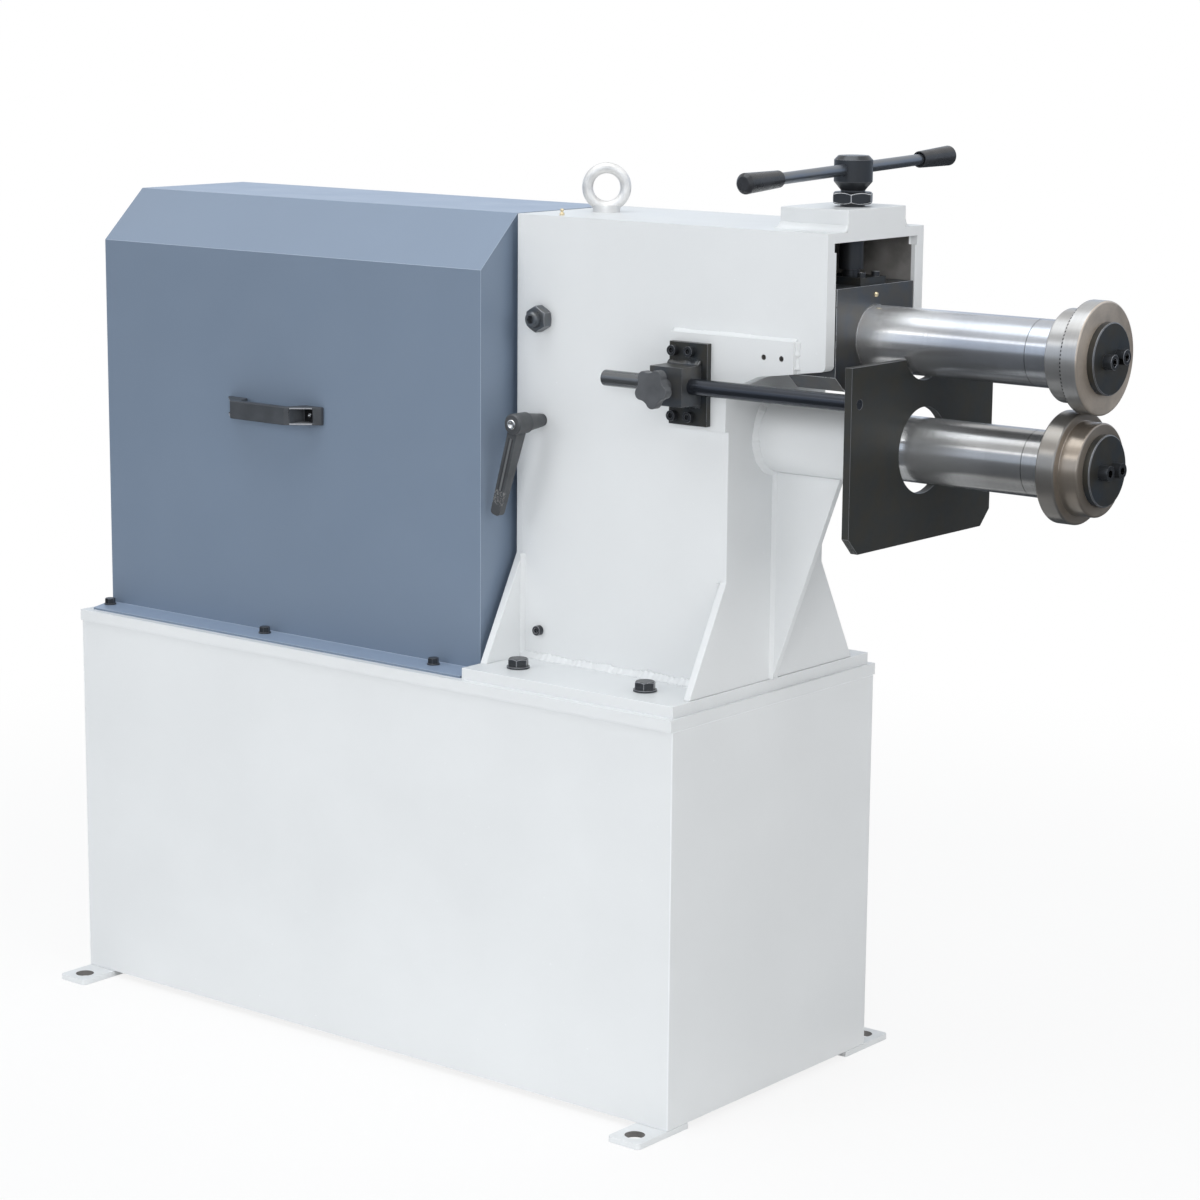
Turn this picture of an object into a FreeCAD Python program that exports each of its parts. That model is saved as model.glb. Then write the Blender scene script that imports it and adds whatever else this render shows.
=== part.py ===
import FreeCAD, Part

import os
import re

import Sketcher
from FreeCAD import Placement, Rotation, Vector

# Driving sizes in millimetres, degrees and counts. X runs from the drive guard to the
# rolls, -Y is the side with the clamp lever, Z is up and the floor is at zero.
SIZES = {
    # Cabinet, its feet and the deck plate on top of it
    "cabinet_length": 1055, "cabinet_width": 435, "cabinet_height": 510, "cabinet_gauge": 3,
    "foot_bar_width": 50, "foot_bar_gauge": 8, "foot_bar_reach": 58, "foot_bar_tuck": 43,
    "foot_corner": 6, "foot_hole_diameter": 25, "foot_hole_inset": 24.5,
    "deck_gauge": 15, "deck_overhang": 3,
    # Welded frame
    "frame_end_gap": 5.5, "frame_length": 338, "frame_height": 573, "frame_inner_width": 170,
    "side_gauge": 18, "end_gauge": 10, "fin_reach": 72, "fin_height": 136.5,
    "base_toe": 2, "base_width": 422, "base_gauge": 15,
    "base_bolt_setback": 55, "base_bolt_pitch_x": 206, "base_bolt_pitch_y": 328,
    "nose_reach": 141, "nose_root_drop": 202, "nose_knee_run": 58.7, "nose_knee_rise": 26,
    "nose_tip_rise": 38.8, "nose_corner": 7,
    "top_gauge": 12, "relief_length": 10, "relief_width": 4, "relief_height": 11,
    "boss_length": 99, "boss_width": 124, "boss_height": 26,
    "tube_wall": 3.5, "tube_length": 170, "gusset_gauge": 10, "gusset_length": 99,
    # Shafts, rolls and gears
    "upper_axis_drop": 130.5, "shaft_spacing": 130, "shaft_diameter": 80, "shaft_reach": 234,
    "arbor_diameter": 50, "arbor_short": 4, "spacer_length": 35, "die_width": 49,
    "roll_overlap": 1.5, "work_gap_back": 8.5, "work_gap_front": 8.2,
    "upper_narrow_width": 26.5, "lower_narrow_width": 24.5, "die_chamfer": 1.5,
    "cap_diameter": 85, "cap_gauge": 9, "cap_edge": 1, "cap_screw_pitch": 28,
    "cap_screw_diameter": 12, "cap_screw_depth": 18, "cap_thread_extra": 6, "cap_screw_turn": 7.5,
    "collar_step": 6, "collar_width": 8, "tail_diameter": 50, "tail_length": 210,
    "shaft_stub": 15, "gear_width": 40, "gear_gap": 27, "gear_teeth": 20, "gear_addendum": 4.5,
    "gear_dedendum": 8, "tooth_half_width": 4.4, "gap_root_half_width": 3.9,
    "gap_mouth_half_width": 9.1, "gap_overshoot": 2, "upper_hub_step": 6, "lower_hub_step": 8,
    "hub_room": 4,
    # Bearings and clearances
    "running_gap": 0.05, "press_gap": 0.02, "face_gap": 0.3, "thread_gap": 0.1,
    "bush_wall": 4, "sleeve_wall": 10, "sleeve_length": 65, "sleeve_setback": 5,
    "housing_length": 60, "housing_split": 10, "front_bush_length": 50, "block_lip": 8,
    "upper_housing_gap": 2, "carrier_side_gap": 3,
    "pivot_diameter": 20, "pivot_engagement": 20, "pivot_stick_out": 25, "pivot_nut_flats": 30,
    "pivot_nut_length": 16, "pivot_nut_turn": 30, "pivot_chamfer": 2, "pivot_socket_flats": 10,
    "pivot_socket_depth": 8,
    # Slide block that carries the front of the upper shaft
    "block_length": 70, "block_rise": 64, "block_side_drop": 42, "block_belly_drop": 60.5,
    "block_chamfer": 22, "pocket_depth": 12, "pocket_room": 2.5, "tilt_room": 0.6,
    "retainer_length": 64, "retainer_setback": 4, "retainer_width": 54, "retainer_gauge": 9,
    "retainer_screw_inset": 7, "retainer_screw_pitch": 30, "retainer_screw_depth": 16,
    "retainer_screw_diameter": 6, "retainer_screw_head_diameter": 10, "retainer_screw_head": 6,
    # Adjusting screw, its jam nut and the sliding cross handle
    "spindle_setback": 36.5, "spindle_diameter": 30, "foot_flange_diameter": 32,
    "washer_diameter": 34, "washer_gauge": 3, "spindle_neck_diameter": 22,
    "neck_rise": 17.5, "hub_gap": 1.5, "hub_cone_height": 11, "hub_cone_diameter": 28.8,
    "hub_diameter": 47, "hub_height": 42, "hub_chamfer": 5, "handle_hole_rise": 26,
    "jam_nut_flats": 46, "jam_nut_height": 14.5, "jam_nut_gap": 3, "top_hole_room": 2,
    "handle_diameter": 14, "handle_tilt": 2.25, "handle_long_end": 225, "handle_short_end": 214,
    "grip_length": 70, "grip_outer_diameter": 25, "grip_inner_diameter": 20.5,
    "grip_end_round": 4, "grip_cap": 8, "grip_mouth_depth": 5, "grip_mouth_diameter": 17,
    # Depth gauge on the lever side
    "pad_gauge": 8, "pad_lap": 75.5, "pad_setback": 41, "pad_drop": 130, "pad_bottom_drop": 248,
    "pad_step_run": 11, "accessory_hole_diameter": 6.8, "accessory_hole_setback": 84.7,
    "accessory_hole_pitch": 26, "accessory_hole_inset": 21.5,
    "bracket_gauge": 8, "bracket_inset": 5.5, "bracket_length": 58, "bracket_height": 102,
    "bracket_screw_pitch_x": 25.5, "bracket_screw_pitch_z": 80.4, "bracket_screw_inset": 8,
    "clamp_length": 49, "clamp_depth": 39, "clamp_height": 48, "rod_diameter": 20,
    "rod_rise": 56, "rod_edge": 1, "rod_stand_off": 35, "rod_back": 86, "stop_reach": 64,
    "stop_gauge": 10,
    "stop_width": 310, "stop_drop": 110, "stop_height": 222.5, "stop_chamfer": 20,
    "stop_hole_diameter": 105, "stop_notch_radius": 45, "rod_spigot_diameter": 12,
    "knob_diameter": 50, "knob_lobes": 5, "knob_turn": -84, "knob_rim": 12,
    "knob_lobe_diameter": 16.6, "knob_flute_depth": 5.5, "knob_flute_radius": 16,
    "knob_core_inset": 2.95,
    "knob_neck_diameter": 20, "knob_neck_length": 18.7, "knob_stud_diameter": 10,
    # Lever that clamps the rear sleeve of the lower shaft
    "lever_stud_diameter": 15, "lever_neck_length": 32, "lever_hub_diameter": 27,
    "lever_hub_length": 28, "lever_arm_length": 126, "lever_arm_width": 15,
    "lever_root_depth": 19, "lever_tip_depth": 10, "lever_lean": 16.8, "lever_tip_round": 5,
    "lever_hub_edge": 1, "lever_hub_chamfer": 2, "lever_skirt_gap": 3, "lever_skirt_tip": 17,
    "lever_skirt_root": 24,
    # Small hardware
    "eye_setback": 62, "eye_ring_diameter": 49, "eye_wire_diameter": 14, "eye_collar_diameter": 35,
    "eye_collar_height": 9, "eye_ring_sink": 1.8, "eye_shank_diameter": 16,
    "eye_shank_length": 25, "eye_turn": 38.7,
    "plug_setback": 39.7, "plug_rise": 38, "plug_end_gap": 2, "base_bolt_diameter": 16,
    "base_bolt_flats": 24, "base_bolt_head": 10, "base_washer_diameter": 30,
    "base_washer_gauge": 3, "base_bolt_end_gap": 1, "small_screw_diameter": 8,
    "small_screw_head_diameter": 13, "small_screw_head": 8,
    "cap_head_diameter": 18, "cap_head": 12, "socket_share": 0.5, "socket_depth_share": 0.6,
    "hole_room": 0.5, "overrun": 1,
    "hex_face_share": 0.95, "hex_chamfer_angle": 30,
    # Drive guard, its screws and its pull handle
    "guard_end_gap": 3, "guard_frame_gap": 11.5, "guard_front": 161.5, "guard_back": 182,
    "guard_top_drop": 0.5, "guard_chamfer_rise": 68.5, "guard_chamfer_run": 72.5,
    "guard_gauge": 3, "guard_flange_front": 47.5, "guard_flange_back": 35,
    "guard_flange_overrun": 5.5, "guard_mitre_run": 11.5, "guard_mitre_rise": 30,
    "guard_slot_room": 5, "guard_slot_rise": 54, "guard_bolt_inset": 16.5,
    "guard_bolt_start": 12.5, "guard_bolt_stop": 66.5, "guard_bolt_count": 3,
    "guard_bolt_flats": 13, "guard_bolt_head": 7.5, "guard_washer_diameter": 17,
    "guard_washer_gauge": 1.6, "guard_bolt_end_gap": 4,
    "pull_start": 244.5, "pull_length": 175, "pull_height": 24, "pull_stand_off": 37,
    "pull_rise": 296, "pull_foot_gauge": 5, "pull_left_slope": 36, "pull_right_slope": 38,
    "pull_gap_foot": 32, "pull_gap_slope": 12, "pull_wall": 12.5, "pull_pocket_inset": 9.5,
    "pull_pocket_length": 23, "pull_pocket_edge": 2.5, "pull_pocket_floor": 4,
    # Gearmotor under the guard
    "drive_gap": 242, "gearbox_length": 200, "gearbox_width": 190, "gearbox_rise": 100.5,
    "gearbox_drop": 132.5, "gearbox_end_wall": 40, "hollow_shaft_diameter": 70,
    "hollow_shaft_inset": 5, "hollow_shaft_proud": 8, "pinion_bore_depth": 25, "pedestal_inset": 5,
    "pedestal_width": 160, "pedestal_wall": 10, "motor_diameter": 200,
    "motor_shield": 15, "rotor_diameter": 80, "rotor_gap": 1, "rotor_end_room": 10,
    "motor_shaft_diameter": 28, "motor_shaft_tail": 40, "motor_shaft_pinion": 20,
    "fan_diameter": 160, "fan_width": 8, "fan_gap": 22, "cowl_room": 32.5, "cowl_length": 52,
    "cowl_inset": 2, "cowl_gauge": 2, "cowl_hole_diameter": 60,
}

# Places and sizes that follow from the driving sizes
DERIVED = {
    "cabinet_top": "foot_bar_gauge + cabinet_height",
    "deck_top": "cabinet_top + deck_gauge",
    "base_top": "deck_top + base_gauge",
    "frame_top": "base_top + frame_height",
    "base_end": "cabinet_length / 2 - frame_end_gap",
    "frame_front": "base_end - base_toe",
    "frame_start": "frame_front - frame_length",
    "side_start": "frame_start + end_gauge",
    "side_end": "frame_front - end_gauge",
    "nose_front": "frame_front + nose_reach",
    "inner_half": "frame_inner_width / 2",
    "outer_half": "inner_half + side_gauge",
    "nose_root": "frame_top - nose_root_drop",
    "nose_knee_x": "side_end + nose_knee_run",
    "nose_knee_z": "nose_root + nose_knee_rise",
    "upper_axis": "frame_top - upper_axis_drop",
    "lower_axis": "upper_axis - shaft_spacing",
    "boss_top": "frame_top + boss_height",
    "shaft_end": "nose_front + shaft_reach",
    "die_start": "shaft_end + spacer_length",
    "die_end": "die_start + die_width",
    "cap_end": "die_end + cap_gauge",
    "wide_radius": "shaft_spacing / 2 + roll_overlap",
    "upper_narrow_radius": "shaft_spacing - wide_radius - work_gap_back",
    "lower_narrow_radius": "shaft_spacing - wide_radius - work_gap_front",
    "upper_hub_radius": "shaft_diameter / 2 + upper_hub_step",
    "lower_hub_radius": "shaft_diameter / 2 + lower_hub_step",
    "gear_front": "frame_start - gear_gap",
    "gear_back": "gear_front - gear_width",
    "pitch_radius": "shaft_spacing / 2",
    "tip_radius": "pitch_radius + gear_addendum",
    "root_radius": "pitch_radius - gear_dedendum",
    "gap_pitch_half_width": "pitch_radius * pi / gear_teeth - tooth_half_width",
    "shaft_back": "gear_back - shaft_stub",
    "tail_end": "shaft_back - tail_length",
    "lower_housing_end": "side_start + housing_length",
    "sleeve_start": "side_start + sleeve_setback",
    "sleeve_end": "sleeve_start + sleeve_length",
    "upper_housing_start": "side_start + upper_housing_gap",
    "upper_housing_end": "upper_housing_start + housing_length",
    "pivot_x": "upper_housing_start + housing_length / 2",
    "carrier_half": "inner_half - carrier_side_gap",
    "bush_bore_radius": "shaft_diameter / 2 + running_gap",
    "tube_bore_radius": "shaft_diameter / 2 + bush_wall",
    "tube_radius": "tube_bore_radius + tube_wall",
    "sleeve_radius": "shaft_diameter / 2 + sleeve_wall",
    "housing_half_height": "(shaft_spacing - housing_split) / 2",
    "block_start": "nose_front - block_length",
    "block_top": "upper_axis + block_rise",
    "pocket_floor": "block_top - pocket_depth",
    "washer_bottom": "pocket_floor + tilt_room",
    "washer_top": "washer_bottom + washer_gauge",
    "foot_bottom": "washer_top + running_gap",
    "foot_top": "block_top - tilt_room",
    "retainer_top": "block_top + retainer_gauge",
    "retainer_end": "nose_front - retainer_setback",
    "retainer_screw_x": "retainer_end - retainer_screw_inset",
    "spindle_x": "nose_front - spindle_setback",
    "jam_nut_bottom": "boss_top + jam_nut_gap",
    "jam_nut_top": "jam_nut_bottom + jam_nut_height",
    "hub_bottom": "jam_nut_top + hub_gap",
    "hub_top": "hub_bottom + hub_height",
    "handle_z": "hub_bottom + handle_hole_rise",
    "tube_end": "frame_front + tube_length",
    "pad_face": "outer_half + pad_gauge",
    "bracket_face": "pad_face + bracket_gauge",
    "pad_x": "side_end - pad_lap",
    "pad_step_x": "side_end + pad_step_run",
    "pad_end": "nose_front - pad_setback",
    "pad_top": "frame_top - pad_drop",
    "pad_bottom": "frame_top - pad_bottom_drop",
    "accessory_x": "nose_front - accessory_hole_setback",
    "accessory_z": "pad_top - accessory_hole_inset",
    "bracket_x": "pad_x + bracket_inset",
    "rod_z": "pad_bottom + rod_rise",
    "rod_y": "outer_half + rod_stand_off",
    "clamp_face": "bracket_face + clamp_depth",
    "knob_x": "bracket_x + clamp_length / 2",
    "stop_start": "nose_front + stop_reach",
    "stop_back": "stop_start + stop_gauge",
    "stop_bottom": "lower_axis - stop_drop",
    "stop_top": "stop_bottom + stop_height",
    "knob_neck_start": "clamp_face + face_gap",
    "knob_rim_start": "knob_neck_start + knob_neck_length",
    "lever_hub_start": "outer_half + lever_neck_length",
    "lever_hub_end": "lever_hub_start + lever_hub_length",
    "lever_arm_middle": "lever_hub_start + lever_hub_length / 2",
    "eye_x": "frame_start + eye_setback",
    "eye_rise": "eye_collar_height - eye_ring_sink + eye_ring_diameter / 2",
    "guard_start": "guard_end_gap - cabinet_length / 2",
    "guard_end": "frame_start - guard_frame_gap",
    "guard_bolt_first": "guard_start + guard_bolt_start",
    "guard_bolt_last": "guard_end - guard_bolt_stop",
    "guard_slope": "sqrt(guard_chamfer_rise^2 + guard_chamfer_run^2)",
    "guard_top": "frame_top - guard_top_drop",
    "guard_shoulder": "guard_top - guard_chamfer_rise",
    "guard_drop_inside": "guard_gauge * (guard_slope - guard_chamfer_rise) / guard_chamfer_run",
    "guard_shift_inside": "guard_gauge * (guard_slope - guard_chamfer_run) / guard_chamfer_rise",
    "guard_slot_top": "upper_axis + guard_slot_rise",
    "pull_x": "guard_start + pull_start",
    "pull_z": "deck_top + pull_rise",
    "pull_face": "guard_front + pull_stand_off",
    "gearbox_end": "frame_start - drive_gap",
    "gearbox_start": "gearbox_end - gearbox_length",
    "gearbox_top": "lower_axis + gearbox_rise",
    "gearbox_bottom": "lower_axis - gearbox_drop",
    "gearbox_bore_end": "gearbox_start + gearbox_end_wall",
    "hollow_start": "gearbox_bore_end + hollow_shaft_inset",
    "hollow_end": "gearbox_end + hollow_shaft_proud",
    "cowl_start": "guard_start + cowl_room",
    "motor_start": "cowl_start + cowl_length",
    "cowl_radius": "motor_diameter / 2 - cowl_inset",
}

NAME = re.compile(r"[a-z][a-z0-9_]*")

doc = FreeCAD.newDocument("SwagingMachine")
sheet = doc.addObject("Spreadsheet::Sheet", "Sizes")
for row, (alias, value) in enumerate(SIZES.items(), start=1):
    sheet.set("A%d" % row, alias)
    sheet.set("B%d" % row, str(value))
    sheet.setAlias("B%d" % row, alias)
doc.recompute()

NODES = {}


def text(expression):
    """Write an expression of named sizes in terms of the sheet's cells."""
    def replace(match):
        word = match.group(0)
        if word in DERIVED:
            return "(" + text(DERIVED[word]) + ")"
        if word in SIZES:
            return "Sizes." + word
        return word
    return NAME.sub(replace, str(expression))


def number(expression):
    """Value of an expression of named sizes."""
    return float(sheet.evalExpression(text(expression)))


def bind(item, prop, expression):
    """Tie a property of a document object to the sheet."""
    item.setExpression(prop, text(expression))


def place(item, x="0", y="0", z="0", rotation=None):
    """Put an object at a point given by expressions, turned by a fixed rotation."""
    if rotation is not None:
        item.Placement = Placement(Vector(), rotation)
    for letter, expression in zip("xyz", (x, y, z)):
        bind(item, "Placement.Base." + letter, expression)
    return item


def node(name, item):
    """Name a finished sub-part."""
    item.Label = name
    NODES[name] = item
    return item


def box(name, x_range, y_range, z_range):
    """A block between two values along each axis."""
    item = doc.addObject("Part::Box", name)
    for prop, (low, high) in zip(("Length", "Width", "Height"), (x_range, y_range, z_range)):
        bind(item, prop, "(%s) - (%s)" % (high, low))
    return place(item, x_range[0], y_range[0], z_range[0])


ALONG = {"X": Rotation(Vector(0, 1, 0), 90), "Y": Rotation(Vector(1, 0, 0), -90), "Z": Rotation()}


def put_along(item, axis, centre, start, turn=0):
    """Place an object made along Z so that it runs along the named axis from start.

    Turn is its rotation about that axis in degrees.
    """
    first, second = centre
    corner = {"X": (start, first, second), "Y": (first, start, second), "Z": (first, second, start)}
    return place(item, *corner[axis], rotation=ALONG[axis] * Rotation(Vector(0, 0, 1), turn))


def cylinder(name, axis, centre, start, end, radius):
    """A round bar along an axis between two values."""
    item = doc.addObject("Part::Cylinder", name)
    bind(item, "Radius", radius)
    bind(item, "Height", "(%s) - (%s)" % (end, start))
    return put_along(item, axis, centre, start)


def hexagon(name, axis, centre, start, end, flats, turn=0):
    """A six-sided bar along an axis, given by its width across flats and turned about it."""
    item = doc.addObject("Part::Prism", name)
    item.Polygon = 6
    bind(item, "Circumradius", "(%s) / sqrt(3)" % flats)
    bind(item, "Height", "(%s) - (%s)" % (end, start))
    return put_along(item, axis, centre, start, turn)


def chamfered_hexagon(name, axis, centre, start, end, flats, both_ends=False, turn=0):
    """A hexagon whose corners are turned to a cone at its end, or at both ends."""
    height = "((%s) - (%s))" % (end, start)
    face = "(hex_face_share * %s / 2)" % flats
    wide = "(%s + %s / tan(hex_chamfer_angle * 1 deg))" % (face, height)
    shapes = [hexagon(name + "_blank", axis, centre, start, end, flats, turn)]
    for tag, near, far in (("top", wide, face), ("bottom", face, wide)):
        if tag == "top" or both_ends:
            cone = doc.addObject("Part::Cone", name + "_cone_" + tag)
            bind(cone, "Radius1", near)
            bind(cone, "Radius2", far)
            bind(cone, "Height", height)
            shapes.append(put_along(cone, axis, centre, start))
    item = doc.addObject("Part::MultiCommon", name)
    item.Shapes = shapes
    return item


def cut(name, base, tools):
    """A piece with one or more tools taken away."""
    item = doc.addObject("Part::Cut", name)
    item.Base = base
    item.Tool = tools[0] if len(tools) == 1 else join(name + "_tools", tools)
    return item


def join(name, pieces):
    """Pieces fused into one."""
    item = doc.addObject("Part::MultiFuse", name)
    item.Shapes = pieces
    return item


def group(name, pieces):
    """Separate solids kept as one sub-part."""
    item = doc.addObject("Part::Compound", name)
    item.Links = pieces
    return item


def sketch(body, name, plane, points, offset="0"):
    """A closed outline on one of the body's origin planes, tied point by point to the sheet."""
    item = body.newObject("Sketcher::SketchObject", name)
    planes = {feature.Role: feature for feature in body.Origin.OriginFeatures}
    item.AttachmentSupport = (planes[plane + "_Plane"], [""])
    item.MapMode = "FlatFace"
    bind(item, "AttachmentOffset.Base.z", offset)
    corners = [Vector(number(across), number(up), 0) for across, up in points]
    count = len(points)
    for index in range(count):
        item.addGeometry(Part.LineSegment(corners[index], corners[(index + 1) % count]))
    for index in range(count):
        item.addConstraint(Sketcher.Constraint("Coincident", index, 2, (index + 1) % count, 1))
    for index, (across, up) in enumerate(points):
        for kind, value, expression in (("DistanceX", corners[index].x, across),
                                        ("DistanceY", corners[index].y, up)):
            constraint = item.addConstraint(Sketcher.Constraint(kind, -1, 1, index, 1, value))
            bind(item, "Constraints[%d]" % constraint, expression)
    return item


def plate(name, plane, points, low, high):
    """An outline padded between two values along the axis square to its plane."""
    body = doc.addObject("PartDesign::Body", name)
    offset = "-(%s)" % high if plane == "XZ" else low
    outline = sketch(body, name + "_outline", plane, points, offset)
    pad = body.newObject("PartDesign::Pad", name + "_pad")
    pad.Profile = outline
    bind(pad, "Length", "(%s) - (%s)" % (high, low))
    return body


def turned(name, axis, profile, centre):
    """A turned piece: profile points are (along, radius) and centre is where its axis lies."""
    body = doc.addObject("PartDesign::Body", name)
    plane = "YZ" if axis == "Y" else "XZ"
    points = [(radius, along) for along, radius in profile] if axis == "Z" else profile
    outline = sketch(body, name + "_outline", plane, points)
    turn = body.newObject("PartDesign::Revolution", name + "_turn")
    turn.Profile = outline
    turn.ReferenceAxis = (outline, ["V_Axis" if axis == "Z" else "H_Axis"])
    turn.Angle = 360
    first, second = centre
    corner = {"X": ("0", first, second), "Y": (first, "0", second), "Z": (first, second, "0")}
    return place(body, *corner[axis])


def round_edges(body, name, radius, wanted):
    """Fillet the body's edges whose middle point passes a test."""
    doc.recompute()
    base = body.Tip
    names = ["Edge%d" % (index + 1) for index, edge in enumerate(base.Shape.Edges)
             if wanted(edge.CenterOfMass, edge)]
    fillet = body.newObject("PartDesign::Fillet", name)
    fillet.Base = (base, names)
    bind(fillet, "Radius", radius)
    return body


def socket_screw(name, axis, centre, seat, out, head, head_diameter, depth, diameter):
    """A socket head screw: seat is where its head sits, out is +1 or -1 towards the head."""
    far = "(%s) + %d * (%s)" % (seat, out, head)
    tip = "(%s) - %d * (%s)" % (seat, out, depth)
    low, high = (seat, far) if out > 0 else (far, seat)
    shank_low, shank_high = (tip, seat) if out > 0 else (seat, tip)
    floor = "(%s) - %d * socket_depth_share * (%s)" % (far, out, head)
    socket_low, socket_high = (floor, far) if out > 0 else (far, floor)
    solid = join(name + "_body", [
        cylinder(name + "_head", axis, centre, low, high, "(%s) / 2" % head_diameter),
        cylinder(name + "_shank", axis, centre, shank_low, shank_high, "(%s) / 2" % diameter)])
    key = hexagon(name + "_key", axis, centre, socket_low, socket_high,
                  "socket_share * (%s)" % head_diameter)
    return cut(name, solid, [key])


# Cabinet of folded sheet, open underneath
node("cabinet_shell", cut(
    "cabinet_shell",
    box("cabinet_outside", ("-cabinet_length / 2", "cabinet_length / 2"),
        ("-cabinet_width / 2", "cabinet_width / 2"), ("foot_bar_gauge", "cabinet_top")),
    [box("cabinet_inside",
         ("-cabinet_length / 2 + cabinet_gauge", "cabinet_length / 2 - cabinet_gauge"),
         ("-cabinet_width / 2 + cabinet_gauge", "cabinet_width / 2 - cabinet_gauge"),
         ("0", "cabinet_top - cabinet_gauge"))]))

# Four flat bars under the corners, each with one anchor hole
foot_end = "cabinet_width / 2 + foot_bar_reach"
foot_bars = []
for x_sign in (-1, 1):
    for y_sign in (-1, 1):
        name = "foot_bar_%d" % (len(foot_bars) + 1)
        outer_x = "%d * cabinet_length / 2" % x_sign
        inner_x = "%d * (cabinet_length / 2 - foot_bar_width)" % x_sign
        inner_y = "%d * (cabinet_width / 2 - foot_bar_tuck)" % y_sign
        outer_y = "%d * (%s)" % (y_sign, foot_end)
        bar = plate(name + "_blank", "XY", [(outer_x, inner_y), (outer_x, outer_y),
                                            (inner_x, outer_y), (inner_x, inner_y)],
                    "0", "foot_bar_gauge")
        reach = number(foot_end) * y_sign
        round_edges(bar, name + "_corners", "foot_corner",
                    lambda middle, edge: abs(middle.y - reach) < 0.01 and abs(edge.Length -
                                         number("foot_bar_gauge")) < 0.01)
        hole = cylinder(name + "_hole", "Z",
                        ("%d * (cabinet_length - foot_bar_width) / 2" % x_sign,
                         "%d * (%s - foot_hole_inset)" % (y_sign, foot_end)),
                        "-overrun", "foot_bar_gauge + overrun", "foot_hole_diameter / 2")
        foot_bars.append(cut(name, bar, [hole]))
node("foot_bars", group("foot_bars", foot_bars))

# Places of the frame bolts and of the guard screws
base_bolt_places = [
    ("frame_start + base_bolt_setback + %d * base_bolt_pitch_x" % step,
     "%d * base_bolt_pitch_y / 2" % side) for step in (0, 1) for side in (-1, 1)]
guard_bolt_places = []
for wall in ("-(guard_front + guard_bolt_inset)", "guard_back + guard_bolt_inset"):
    for index in range(int(number("guard_bolt_count"))):
        step = "(guard_bolt_last - guard_bolt_first) / (guard_bolt_count - 1)"
        guard_bolt_places.append(("guard_bolt_first + %d * %s" % (index, step), wall))

# Deck plate that carries the frame, the drive and the guard
deck_holes = []
for number_of, (x, y) in enumerate(base_bolt_places):
    deck_holes.append(cylinder("deck_bolt_hole_%d" % number_of, "Z", (x, y),
                               "cabinet_top - overrun", "deck_top + overrun",
                               "base_bolt_diameter / 2 + press_gap"))
for number_of, (x, y) in enumerate(guard_bolt_places):
    deck_holes.append(cylinder("deck_screw_hole_%d" % number_of, "Z", (x, y),
                               "cabinet_top - overrun", "deck_top + overrun",
                               "small_screw_diameter / 2 + running_gap"))
node("cabinet_top_plate", cut(
    "cabinet_top_plate",
    box("deck_blank", ("-cabinet_length / 2", "cabinet_length / 2"),
        ("-cabinet_width / 2 - deck_overhang", "cabinet_width / 2 + deck_overhang"),
        ("cabinet_top", "deck_top")), deck_holes))

# Frame base plate and its four bolts with washers
base_holes = []
base_bolts = []
for number_of, (x, y) in enumerate(base_bolt_places):
    base_holes.append(cylinder("base_hole_%d" % number_of, "Z", (x, y), "deck_top - overrun",
                               "base_top + overrun", "base_bolt_diameter / 2 + hole_room"))
    washer_top = "base_top + base_washer_gauge"
    bolt = join("base_bolt_%d" % number_of, [
        chamfered_hexagon("base_bolt_head_%d" % number_of, "Z", (x, y), washer_top,
                          washer_top + " + base_bolt_head", "base_bolt_flats"),
        cylinder("base_bolt_shank_%d" % number_of, "Z", (x, y),
                 "cabinet_top + base_bolt_end_gap", washer_top, "base_bolt_diameter / 2")])
    washer = cut("base_washer_%d" % number_of,
                 cylinder("base_washer_disc_%d" % number_of, "Z", (x, y), "base_top", washer_top,
                          "base_washer_diameter / 2"),
                 [cylinder("base_washer_hole_%d" % number_of, "Z", (x, y),
                           "base_top - overrun", washer_top + " + overrun",
                           "base_bolt_diameter / 2 + hole_room")])
    base_bolts += [bolt, washer]
node("frame_base_plate", cut(
    "frame_base_plate",
    box("base_blank", ("frame_start", "base_end"),
        ("-base_width / 2", "base_width / 2"), ("deck_top", "base_top")), base_holes))
node("base_bolts", group("base_bolts", base_bolts))

# Rear and front plates, both flared into fins above the base plate
fin_points = [("-(outer_half + fin_reach)", "base_top"), ("outer_half + fin_reach", "base_top"),
              ("outer_half", "base_top + fin_height")]
node("frame_rear_plate", cut(
    "frame_rear_plate",
    plate("rear_plate_blank", "YZ",
          fin_points + [("outer_half", "frame_top"), ("-outer_half", "frame_top"),
                        ("-outer_half", "base_top + fin_height")],
          "frame_start", "side_start"),
    [cylinder("rear_upper_hole", "X", ("0", "upper_axis"), "frame_start - overrun",
              "side_start + overrun", "upper_hub_radius + hub_room"),
     cylinder("rear_lower_hole", "X", ("0", "lower_axis"), "frame_start - overrun",
              "side_start + overrun", "lower_hub_radius + hub_room")]))
node("frame_front_plate", cut(
    "frame_front_plate",
    plate("front_plate_blank", "YZ",
          fin_points + [("outer_half", "nose_root"), ("inner_half", "nose_root"),
                        ("inner_half", "nose_knee_z"), ("-inner_half", "nose_knee_z"),
                        ("-inner_half", "nose_root"), ("-outer_half", "nose_root"),
                        ("-outer_half", "base_top + fin_height")],
          "side_end", "frame_front"),
    [cylinder("front_hole", "X", ("0", "lower_axis"), "side_end - overrun",
              "frame_front + overrun", "tube_bore_radius")]))

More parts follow.
